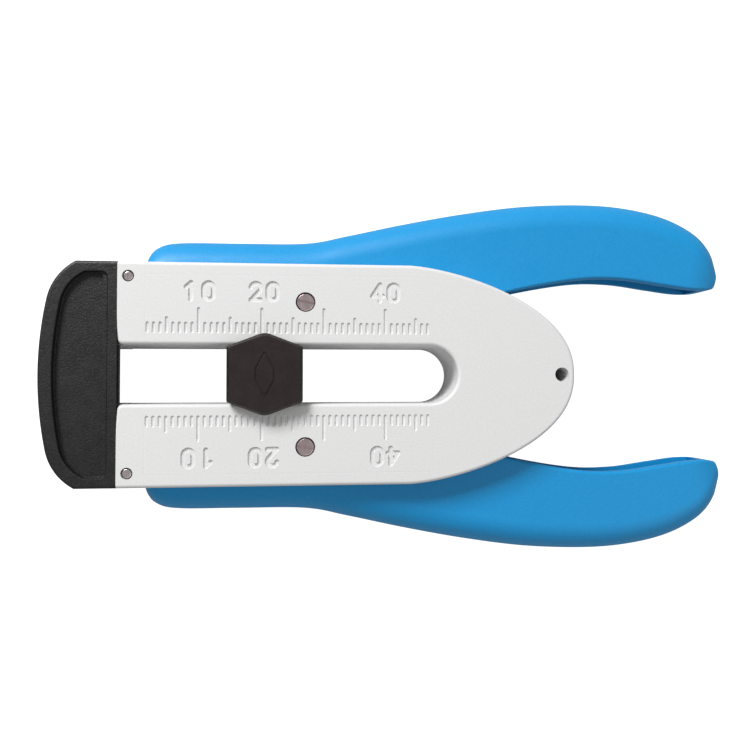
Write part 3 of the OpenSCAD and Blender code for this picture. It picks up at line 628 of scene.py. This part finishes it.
def handle_ring(t, shrink):
    """The cross-section at t: half round outside, small rounded corners inside."""
    outer, inner = station(t, 0), station(t, 1)
    length = (inner - outer).length
    u = (inner - outer) / length
    left = min(1.0, max(0.0, (PIVOT[0] + TIP - outer.x) / 5))
    half = HANDLE_H / 2 * (0.45 + 0.55 * math.sqrt(1 - (1 - left) ** 2))
    deep = min(HANDLE_H / 2, 0.8 * length)
    corner = 0.55
    flat = [(deep * (1 - math.cos(a)), half * math.sin(a))
            for a in (math.radians(-90 + 180 * k / 22) for k in range(23))]
    for first, side in ((90, 1), (0, -1)):
        for k in range(5):
            a = math.radians(first - 90 * k / 4)
            flat.append((length - corner + corner * math.cos(a),
                         side * (half - corner) + corner * math.sin(a)))
    ring = []
    for along_u, z in flat:
        along_u = length / 2 + (along_u - length / 2) * (1 - 2 * shrink / length)
        z *= 1 - shrink / half
        ring.append((outer.x + u.x * along_u, outer.y + u.y * along_u, MID + z))
    return ring


def handle_solid():
    last, edge = len(STATIONS) - 1, 0.7
    ends = [0.0, 0.02, 0.05, 0.09, 0.14, 0.2]
    inner_places = [i / 8 for i in range(3, 8 * last - 2)]
    places = ends + inner_places + [last - e for e in reversed(ends)]
    bm = bmesh.new()
    rings = []
    for t in places:
        near = min((station(t, 0) - station(0, 0)).length,
                   (station(t, 0) - station(last, 0)).length)
        shrink = edge * (1 - math.sqrt(1 - (1 - near / edge) ** 2)) if near < edge else 0
        rings.append([bm.verts.new([c * MM for c in p]) for p in handle_ring(t, shrink)])
    n = len(rings[0])
    for one, two in zip(rings, rings[1:]):
        for k in range(n):
            bm.faces.new((one[k], two[k], two[(k + 1) % n], one[(k + 1) % n]))
    bm.faces.new(rings[0])
    bm.faces.new(list(reversed(rings[-1])))
    return mesh_object("handle", bm)


def channel_plan():
    """The hollow: it stops short of the tip and runs out through the front."""
    places = [FIRST + (LAST - FIRST) * i / 90 for i in range(91)]
    wall, past = [], []
    for t in places:
        outer, inner = station(t, 0), station(t, 1)
        u = (inner - outer).normalized()
        wall.append(tuple(outer + u * OUTER_WALL))
        past.append(tuple(inner + u))
    mouth_x, mouth_y = handle_low.x - 2, ARM_Y + ARM_W / 2 + 0.4
    start = [(mouth_x, mouth_y), (station(FIRST, 0).x, mouth_y)]
    loop = start + wall + list(reversed(past)) + [(mouth_x, past[0][1])]
    return list(reversed(loop))


# %% Both handles
OVER = (Matrix.Translation((0, 0, TOP * MM)) @ Matrix.Rotation(math.pi, 4, "X"))
EYE_R, BUSH_R = 4.0, 2.2
SEAT_Y, SEAT_HALF, SEAT_T = HALF_W, 3.5, 2
ARM_SCREWS = [(PIVOT[0] - 17, OUTER_Y - 10.2), (PIVOT[0] + 9, OUTER_Y - 8.8)]
ARM_LOW = CHANNEL_HIGH - 2.0


def handle():
    low, high = handle_low.z, handle_high.z
    piece = handle_solid()
    combine(piece, [raised("channel", channel_plan(), rounded(CHANNEL_LOW, CHANNEL_HIGH))],
            "DIFFERENCE")
    combine(piece, [post(PIVOT, EYE_R, low, high, 0.3),
                    block(SPRING_X - SEAT_HALF, SPRING_X + SEAT_HALF, SEAT_Y, SEAT_Y + SEAT_T,
                          CHANNEL_LOW - OVERLAP, CHANNEL_HIGH + OVERLAP),
                    along("y", (SPRING_X, MID), PEG_R, SEAT_Y - PEG_L, SEAT_Y + OVERLAP)],
            "UNION")
    combine(piece, [post(PIVOT, EYE_R + 1, ARM_LOW, CHANNEL_HIGH), post(PIVOT, BUSH_R, 0, TOP)]
            + [post(p, 0.8, MID, high - 0.5) for p in ARM_SCREWS], "DIFFERENCE")
    return piece


handle_left = handle()
handle_left.name = "grip_left"
handle_right = turned(handle(), OVER)
handle_right.name = "grip_right"
report(handle_left)
report(handle_right)

# %% [markdown]
# ## The length stop's button
# The button slides along the slot and sets how much coating comes off. It is a six-sided
# block with blunt tips that overlap the slot's edges, a bevel all round, and a thin
# engraved outline on top that the thumb can feel.

# %% Button
BUTTON_L, BUTTON_W, BUTTON_SIDE, BLUNT = 12.0, 13.1, 4.45, 0.5


def hexagon(length, width, side, tip, corner=0.02):
    """Six sides with blunt tips, counter-clockwise, each corner swept by a small curve."""
    x, y = length / 2, width / 2
    sharp = [Vector((STOP + px, py)) for px, py in (
        (x, -side), (x, side), (tip, y), (-tip, y), (-x, side), (-x, -side), (-tip, -y),
        (tip, -y))]
    loop = []
    for i, p in enumerate(sharp):
        before, after = sharp[i - 1], sharp[(i + 1) % len(sharp)]
        start = p + (before - p).normalized() * corner
        end = p + (after - p).normalized() * corner
        for k in range(5):
            f = k / 4
            loop.append(tuple(start * (1 - f) ** 2 + p * 2 * f * (1 - f) + end * f * f))
    return loop


BEVEL, BUTTON_LOW, BUTTON_TOP = 0.5, button_low.z, button_high.z
button_sides = [(0.1, BUTTON_LOW), (0.0, BUTTON_LOW + 0.1), (0.0, BUTTON_TOP - BEVEL - 0.06),
                (0.03, BUTTON_TOP - BEVEL), (BEVEL - 0.06, BUTTON_TOP - 0.03),
                (BEVEL + 0.04, BUTTON_TOP)]


def button_plan(inset):
    return hexagon(BUTTON_L - 2 * inset, BUTTON_W - 2 * inset, BUTTON_SIDE - inset / 3, BLUNT,
                   0.3)


button = raised("button", button_plan, button_sides)
mark = raised("mark", hexagon(3.1, 7.1, 0.95, 0.16, 0.08),
              rounded(BUTTON_TOP - 0.15, BUTTON_TOP + 1))
combine(button, [mark] + [post((STOP + dx, 0), 0.75, 0, BUTTON_TOP - 0.9)
                          for dx in (-2.6, 2.6)], "DIFFERENCE")
combine(button, [raised("island", hexagon(2.66, 6.2, 0.92, 0.16, 0.08),
                        rounded(BUTTON_TOP - 0.5, BUTTON_TOP, 0, 0.05))], "UNION")
report(button)

# %% [markdown]
# ## Numerals
# The numerals 10, 20 and 40 are engraved like the lines of the scale. Each stroke is a
# ribbon along a short path, with round ends and a flat floor. The lower scale reads from
# the other side, so its numerals are turned by half a turn.

# %% Numerals
ZERO = FRONT + 2.65
DIGIT_BASE, DIGIT_H, DIGIT_W, STROKE, DEPTH = 11.65, 3.5, 2.35, 0.82, 0.3
DIGIT_GAP = 0.35
NUDGE = {20: 0.35}


def ribbon(path, width):
    """A closed loop round an open path, with round ends."""
    points = [Vector(p) for p in path]
    sides = [[], []]
    for i, p in enumerate(points):
        back = (p - points[i - 1]).normalized() if i else None
        ahead = (points[i + 1] - p).normalized() if i + 1 < len(points) else None
        d = ((back or ahead) + (ahead or back)).normalized()
        normal = Vector((-d.y, d.x)) / (d.dot(back or ahead))
        sides[0].append(p - normal * width / 2)
        sides[1].append(p + normal * width / 2)
    loop = [tuple(p) for p in sides[0]]
    for end, first, others in ((points[-1], sides[0][-1], sides[1]), (points[0], sides[1][0], [])):
        start = math.degrees(math.atan2(first.y - end.y, first.x - end.x))
        loop += arc(end, width / 2, start, start + 180, 8)[1:-1]
        loop += [tuple(p) for p in reversed(others)]
    return loop


def groove(loops):
    """A cutter with a flat floor and slightly sloping walls."""
    walls = [(0.07, TOP - DEPTH), (0.0, TOP), (0.0, TOP + 1)]
    cutters = [raised("stroke", loop, walls) for loop in loops]
    if len(cutters) > 1:
        combine(cutters[0], cutters[1:], "UNION")
    return cutters[0]


def digit(figure):
    """A digit's cutter, its lower left corner at the origin."""
    h, w, s = DIGIT_H, DIGIT_W, STROKE
    r = w / 2
    if figure == 0:
        ring = arc((r, r), r, -180, 0, 16) + arc((r, h - r), r, 0, 180, 16)
        inner = r - s
        hole = arc((r, r), inner, -180, 0, 12) + arc((r, h - r), inner, 0, 180, 12)
        island = raised("island", hole, [(-0.07, TOP - 1), (0, TOP), (0, TOP + 2)])
        return combine(groove([ring]), [island], "DIFFERENCE")
    if figure == 1:
        return groove([ribbon([(1.1, s / 2), (1.1, h - s / 2)], s),
                       ribbon([(0.35, h - 1.1), (1.1, h - s / 2)], s)])
    if figure == 2:
        bend = arc((r, h - r), r - s / 2, 170, -35, 14)
        return groove([ribbon(bend + [(s / 2 + 0.05, s / 2)], s),
                       ribbon([(s / 2, s / 2), (w - s / 2, s / 2)], s)])
    stem, bar = w - 0.7, 1.2
    return groove([ribbon([(stem, s / 2), (stem, h - s / 2)], s),
                   ribbon([(stem, h - s / 2), (s / 2, bar)], s),
                   ribbon([(s / 2, bar), (w - s / 4, bar)], s)])


def numeral(value, half_turn):
    """Two digits centred on their line of the scale, for the upper or the lower scale."""
    step = DIGIT_W + DIGIT_GAP
    shift = DIGIT_W if value == 10 else step - DIGIT_GAP / 2
    middle = ZERO + value + NUDGE.get(value, 0)
    cutters = []
    for place, figure in enumerate((value // 10, 0)):
        cutter = digit(figure)
        move = Matrix.Translation(Vector((middle - shift + step * place, DIGIT_BASE, 0)) * MM)
        turned(cutter, move)
        if half_turn:
            centre = Matrix.Translation(Vector((middle, 0, 0)) * MM)
            turned(cutter, centre @ Matrix.Rotation(math.pi, 4, "Z") @ centre.inverted())
        cutters.append(cutter)
    return cutters


for value in (10, 20, 40):
    combine(top, numeral(value, False) + numeral(value, True), "DIFFERENCE")
report(top)

# %% [markdown]
# ## Graduations
# Two rows of forty-six lines face each other across the slot. All are one shape at one
# pitch, and only their length changes, so Geometry Nodes lays them out: a row of points
# carries each line's reach, a small ball becomes a line when its outer half moves out by
# that reach, and the floor is cut flat. The balls then leave their grooves in the plate.
# %% Graduation tree
def graduation_tree():
    tree = bpy.data.node_groups.new("graduations", "GeometryNodeTree")
    graph = Graph(tree)
    tree.interface.new_socket("Geometry", in_out="INPUT", socket_type="NodeSocketGeometry")
    tree.interface.new_socket("Geometry", in_out="OUTPUT", socket_type="NodeSocketGeometry")
    for name, kind in (("Count", "Int"), ("First", "Int"), ("Start", "Float"),
                       ("Pitch", "Float"), ("Base", "Float"), ("Level", "Float"),
                       ("Width", "Float"), ("Depth", "Float"), ("Short", "Float"),
                       ("Step 5", "Float"), ("Step 10", "Float"), ("Finish", "Material")):
        tree.interface.new_socket(name, in_out="INPUT", socket_type="NodeSocket" + kind)
    given = tree.nodes.new("NodeGroupInput")

    def take(name):
        return Value(graph, given.outputs[name])

    def vector(x=0.0, y=0.0, z=0.0):
        return graph.node("ShaderNodeCombineXYZ", None, {0: x, 1: y, 2: z})

    def place(axis):
        position = graph.node("GeometryNodeInputPosition")
        return graph.node("ShaderNodeSeparateXYZ", None, {0: position}, axis)

    def stored(geometry, name, value):
        return graph.node("GeometryNodeStoreNamedAttribute",
                          {"data_type": "FLOAT", "domain": "POINT"},
                          {"Geometry": geometry, "Name": name, "Value": value})

    def named(name):
        return graph.node("GeometryNodeInputNamedAttribute", {"data_type": "FLOAT"},
                          {"Name": name})

    number = graph.node("GeometryNodeInputIndex") + take("First")
    reach = (take("Short") + (number % 5 < 0.5) * take("Step 5")
             + (number % 10 < 0.5) * (take("Step 10") - take("Step 5")) - take("Width"))
    rows = []
    for side in (1.0, -1.0):
        start = vector(take("Start"), (take("Base") + take("Width") / 2) * side, take("Level"))
        row = graph.node("GeometryNodeMeshLine", {"mode": "OFFSET"},
                         {"Count": take("Count"), "Start Location": start,
                          "Offset": vector(take("Pitch"))})
        rows.append(stored(stored(row, "reach", reach * side), "side", side))
    points = tree.nodes.new("GeometryNodeJoinGeometry")
    for row in rows:
        tree.links.new(row.socket, points.inputs[0])
    points = Value(graph, points.outputs[0])
    ball = graph.node("GeometryNodeMeshUVSphere", None,
                      {"Segments": 16, "Rings": 9, "Radius": take("Width") / 2})
    floor_z = place(2).maths("MAXIMUM", take("Depth") * -1.0)
    ball = graph.node("GeometryNodeSetPosition", None,
                      {"Geometry": ball, "Position": vector(place(0), place(1), floor_z)})
    ball = stored(ball, "local_y", place(1))
    lines = graph.node("GeometryNodeInstanceOnPoints", None,
                       {"Points": points, "Instance": ball})
    lines = graph.node("GeometryNodeRealizeInstances", None, {"Geometry": lines})
    outer = named("local_y") * named("side") > 0.000001
    lines = graph.node("GeometryNodeSetPosition", None,
                       {"Geometry": lines, "Offset": vector(0.0, named("reach") * outer)})
    cut = graph.node("GeometryNodeMeshBoolean", {"operation": "DIFFERENCE", "solver": "MANIFOLD"},
                     {"Mesh 1": take("Geometry"), "Mesh 2": lines})
    cut = graph.node("GeometryNodeRealizeInstances", None, {"Geometry": cut})
    cut = graph.node("GeometryNodeSetMaterial", None,
                     {"Geometry": cut, "Material": take("Finish")})
    result = tree.nodes.new("NodeGroupOutput")
    tree.links.new(cut.socket, result.inputs[0])
    return tree


def apply_tree(piece, tree, values):
    """Runs a node tree on a piece with its inputs set, and keeps the plain mesh."""
    modifier = piece.modifiers.new(tree.name, "NODES")
    modifier.node_group = tree
    for item in tree.interface.items_tree:
        if item.in_out == "INPUT" and item.name in values:
            modifier[item.identifier] = values[item.name]
    settle(piece)


# %% [markdown]
# ## Finishes
# Each finish is a small node tree that reads Object coordinates, so it stays where it is
# when a lever moves. Plastics get the fine grain of an eroded mould, turned and stamped
# steel gets fine marks along its working direction, and all of them vary a little.


# %% Finish builder
def srgb(red, green, blue):
    """A colour given in steps of 255, as the linear colour that shaders use."""
    linear = [(c / 255 / 12.92) if c < 10 else ((c / 255 + 0.055) / 1.055) ** 2.4
              for c in (red, green, blue)]
    return (*linear, 1.0)


class Finish:
    """A material: constants go straight to the shader, and graphs feed what varies."""

    def __init__(self, name, **constants):
        self.material = bpy.data.materials.new(name)
        self.material.use_nodes = True
        self.tree = self.material.node_tree
        self.graph = Graph(self.tree)
        self.shader = self.tree.nodes["Principled BSDF"]
        self.place = self.graph.node("ShaderNodeTexCoord", output=3)
        for key, value in constants.items():
            self.shader.inputs[key.replace("_", " ").title()].default_value = value

    def feed(self, **values):
        for key, value in values.items():
            self.tree.links.new(value.socket, self.shader.inputs[key.replace("_", " ").title()])
        return self

    def stretched(self, scale):
        return self.graph.node("ShaderNodeMapping", None, {"Vector": self.place, "Scale": scale})

    def noise(self, scale, detail=2.0, rough=0.5, where=None):
        return self.graph.node("ShaderNodeTexNoise", None, {
            "Vector": where or self.place, "Scale": scale, "Detail": detail,
            "Roughness": rough})

    def ranged(self, value, new_low=0.0, new_high=1.0, low=0.3, high=0.7):
        """Most of a noise lies between low and high; it is spread over the new range."""
        return self.graph.node("ShaderNodeMapRange", None, {
            "Value": value, "From Min": low, "From Max": high, "To Min": new_low,
            "To Max": new_high})

    def mixed(self, share, one, two):
        return self.graph.node("ShaderNodeMix", {"data_type": "RGBA"},
                               {0: share, 6: one, 7: two}, output=2)

    def bumps(self, height, distance):
        return self.graph.node("ShaderNodeBump", None, {
            "Height": height, "Distance": distance, "Strength": 1.0})


def plastic(name, colour, other, roughness, grain, depth, scale=2600.0):
    """Moulded plastic with the grain of an eroded mould."""
    made = Finish(name)
    grains = made.noise(scale, 3.0, 0.6)
    tone = made.mixed(made.ranged(grains), colour, other)
    shine = made.ranged(made.noise(grain), roughness - 0.05, roughness + 0.05)
    return made.feed(base_color=tone, roughness=shine, normal=made.bumps(grains, depth))


def metal(name, colour, other, roughness, stretch, scale=900.0, depth=0.000004):
    """Metal with marks that run along one direction."""
    made = Finish(name, metallic=1.0)
    marks = made.noise(scale, 3.0, 0.6, made.stretched(stretch))
    tone = made.mixed(marks, colour, other)
    shine = made.ranged(marks, roughness - 0.07, roughness + 0.07)
    return made.feed(base_color=tone, roughness=shine, normal=made.bumps(marks, depth))


# %% Housing finish
def housing_finish():
    """Light grey plastic. A faint line shows where the mould's insert met its frame."""
    made = Finish("housing_grey_finish")
    grains = made.noise(3000.0, 3.0, 0.6)
    tone = made.mixed(made.ranged(grains), srgb(221, 221, 221), srgb(229, 229, 229))
    x = made.graph.node("ShaderNodeSeparateXYZ", None, {0: made.place}, 0)
    y = made.graph.node("ShaderNodeSeparateXYZ", None, {0: made.place}, 1)
    first, last, half = (ZERO + 1.7) * MM, (ZERO + 48) * MM, 16 * MM
    along_x = abs(x - (first + last) / 2) - (last - first) / 2
    edge = along_x.maths("MAXIMUM", abs(y) - half)
    line = made.ranged(abs(edge), low=0.0, high=0.0001)
    height = line * 0.6 + grains * 0.25
    shine = made.ranged(made.noise(400.0), 0.5, 0.6)
    return made.feed(base_color=tone, roughness=shine,
                     normal=made.bumps(height, 0.00002)).material


grey = housing_finish()
black = plastic("cap_black_finish", srgb(8, 8, 8), srgb(34, 34, 34), 0.42, 500.0,
                0.00006, 3200.0).material
blue = plastic("handle_blue_finish", srgb(4, 142, 206), srgb(12, 152, 217), 0.48, 400.0,
               0.00001, 3000.0).material
slider = plastic("stop_black_finish", srgb(26, 16, 15), srgb(35, 24, 22), 0.4, 400.0,
                 0.00001, 3000.0).material
steel = {
    "arm_steel": metal("arm_steel_finish", srgb(188, 188, 190), srgb(205, 205, 208), 0.38,
                       (0.1, 1, 1)),
    "blade_steel": metal("blade_steel_finish", srgb(208, 210, 214), srgb(226, 228, 232), 0.24,
                         (1, 1, 0.08), 1500.0),
    "spring_steel": metal("spring_steel_finish", srgb(178, 178, 182), srgb(198, 198, 202),
                          0.32, (1, 1, 1)),
    "pin_steel": metal("pin_steel_finish", srgb(205, 186, 188), srgb(230, 212, 214), 0.3,
                       (1, 0.2, 1), 1600.0),
    "brass": metal("brass_finish", srgb(214, 180, 108), srgb(232, 200, 132), 0.3, (1, 1, 0.2)),
    "ground_steel": metal("ground_steel_finish", srgb(196, 197, 200), srgb(216, 217, 220),
                          0.28, (1, 0.15, 1)),
    "screw_steel": metal("screw_steel_finish", srgb(222, 212, 214), srgb(240, 232, 234), 0.24,
                         (1, 1, 1))}
print("finishes:", len(bpy.data.materials))

# %% Cut the graduations
apply_tree(top, graduation_tree(), {
    "Count": 46, "First": 2, "Start": (ZERO + 2) * MM, "Pitch": MM,
    "Base": (SLOT_R + 1.8) * MM, "Level": TOP * MM, "Width": 0.56 * MM, "Depth": 0.24 * MM,
    "Short": 1.9 * MM, "Step 5": 0.85 * MM, "Step 10": 2.35 * MM, "Finish": grey})
report(top)

# %% [markdown]
# ## Pins, screws and springs
# The pins are turned: a cylinder with a broken edge and one slot across the head. The cap
# screws are so small that only a cross and a rim show. Each return spring is a wire on a
# helix, pressed between the wall of the slot and its handle.

# %% Pins
PIN_R, PIN_TOP = 1.4, pin_high.z


def pivot_pin(side):
    centre = (PIVOT[0], side * PIVOT[1])
    edge = rounded(SPLIT, PIN_TOP, 0, 0.16)
    pin = raised("pivot_screw", circle(centre, PIN_R, 64), edge)
    combine(pin, [post(centre, 1.15, pin_low.z, SPLIT + 0.5)], "UNION")
    notch = block(-3, 3, -0.225, 0.225, PIN_TOP - 0.6, PIN_TOP + 1)
    place = Matrix.Translation(Vector((*centre, 0)) * MM)
    turned(notch, place @ Matrix.Rotation(math.radians(-11), 4, "Z"))
    return combine(pin, [notch], "DIFFERENCE")


pins = [pivot_pin(1), pivot_pin(-1)]
pins[0].name, pins[1].name = "pivot_screw_left", "pivot_screw_right"


# %% Cap screws
def cap_screw(x, y):
    """One screw with its head up, a broken rim and a cross recess."""
    head_top, cross = TOP - 0.15, 0.95
    screw = raised("screw", circle((x, y), 0.72, 40), rounded(TOP - 0.95, head_top, 0, 0.12))
    combine(screw, [post((x, y), 0.5, TOP - 5.15, TOP - 0.5)], "UNION")
    bars = [block(x - a, x + a, y - b, y + b, head_top - 0.3, TOP)
            for a, b in ((cross / 2, 0.12), (0.12, cross / 2))]
    return combine(screw, bars, "DIFFERENCE")


screws = [cap_screw(CAP_SCREW[0], side * CAP_SCREW[1]) for side in (1, -1)]
screws += [turned(cap_screw(CAP_SCREW[0], side * CAP_SCREW[1]), OVER) for side in (1, -1)]
all_screws = bmesh.new()
for screw in screws:
    all_screws.from_mesh(screw.data)
    bpy.data.meshes.remove(screw.data)
cap_screws = mesh_object("cap_screw_set", all_screws)

# %% Return springs
spring_low, spring_high = span("return_spring_left")
WIRE_R, COIL_R, TURNS = 0.35, 2.15, 6


def coil(name):
    """A wire on a helix between the slot's wall and the handle."""
    low, high = spring_low.y + WIRE_R, spring_high.y - WIRE_R
    steps, sides = TURNS * 36, 12
    bm = bmesh.new()
    rings = []
    for i in range(steps + 1):
        share, a = i / steps, math.tau * TURNS * i / steps
        middle = Vector((SPRING_X + COIL_R * math.cos(a), low + (high - low) * share,
                         MID - COIL_R * math.sin(a)))
        out = Vector((math.cos(a), 0, -math.sin(a)))
        rings.append([bm.verts.new((middle + WIRE_R * (out * math.cos(b)
                                                       + Vector((0, 1, 0)) * math.sin(b))) * MM)
                      for b in (math.tau * k / sides for k in range(sides))])
    for one, two in zip(rings, rings[1:]):
        for k in range(sides):
            bm.faces.new((one[k], one[(k + 1) % sides], two[(k + 1) % sides], two[k]))
    bm.faces.new(rings[0])
    bm.faces.new(list(reversed(rings[-1])))
    return mesh_object(name, bm)


springs = [coil("spring_left"), turned(coil("spring_right"), OVER)]
for piece in pins + [cap_screws] + springs:
    report(piece)


# %% [markdown]
# ## Bodies and finishes
# Every piece but the springs rides on the body that its CAD node belongs to, and takes the
# node's place. The springs reach from the housing to a handle and ride on neither. The nodes
# that stay as they are, such as the blades and bushes, get the same kind of finishes.

# %% Smooth faces
SHARP_ANGLE = 32


def smooth(piece):
    """Smooth shading with sharp edges by angle, and normals that follow the large faces."""
    piece.data.shade_smooth()
    piece.data.set_sharp_from_angle(angle=math.radians(SHARP_ANGLE))
    weighted = piece.modifiers.new("weighted", "WEIGHTED_NORMAL")
    weighted.keep_sharp = True
    settle(piece)


def paint(piece, material):
    piece.data.materials.clear()
    piece.data.materials.append(material)


def dress(piece, material, slot, body, *replaced):
    """Finishes a piece, sets what it rides on and hides the CAD nodes that it stands for."""
    smooth(piece)
    paint(piece, material)
    if body:
        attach(piece, body)
    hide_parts(*replaced)


dress(top, grey, "housing_grey", "housing", "top_shell")
dress(bottom, grey, "housing_grey", "housing", "bottom_shell")
dress(cap, black, "cap_black", "housing", "head_cap")
dress(handle_left, blue, "handle_blue", "left_lever", "handle_left")
dress(handle_right, blue, "handle_blue", "right_lever", "handle_right")
dress(button, slider, "stop_black", "length_stop", "stop_button")
dress(pins[0], steel["pin_steel"].material, "pin_steel", "housing", "pivot_pin_left")
dress(pins[1], steel["pin_steel"].material, "pin_steel", "housing", "pivot_pin_right")
dress(cap_screws, steel["screw_steel"].material, "screw_steel", "housing", "cap_screws")
seat_a = Vector((SPRING_X, spring_low.y, MID)) * MM
seat_b = Vector((SPRING_X, spring_high.y, MID)) * MM
for spring, lever, side in ((springs[0], "left", 1), (springs[1], "right", -1)):
    dress(spring, steel["spring_steel"].material, "spring_steel", None, "return_spring_" + lever)
    ends = [Vector((end.x, side * end.y, end.z)) for end in (seat_a, seat_b)]
    lever + "_lever"
    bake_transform(spring)

# %% Nodes that keep their CAD form
KEPT = {"arm_steel": ["blade_arm_left", "blade_arm_right"],
        "blade_steel": ["blade_left", "blade_right"],
        "brass": ["fibre_guide", "pivot_nuts", "pivot_bush_left", "pivot_bush_right"],
        "ground_steel": ["locating_dowels", "stop_pad"],
        "spring_steel": ["stop_spring"],
        "screw_steel": ["tail_screw", "blade_screw_left", "blade_screw_right",
                        "arm_screws_left", "arm_screws_right", "stop_screws"]}
for finish, names in KEPT.items():
    for name in names:
        paint(nodes[name], steel[finish].material)
for name in ("stop_carrier", "stop_keeper"):
    paint(nodes[name], slider)
print("CAD nodes that stay:", sum(len(names) for names in KEPT.values()) + 2)

# %% Finish
bpy.context.view_layer.update()
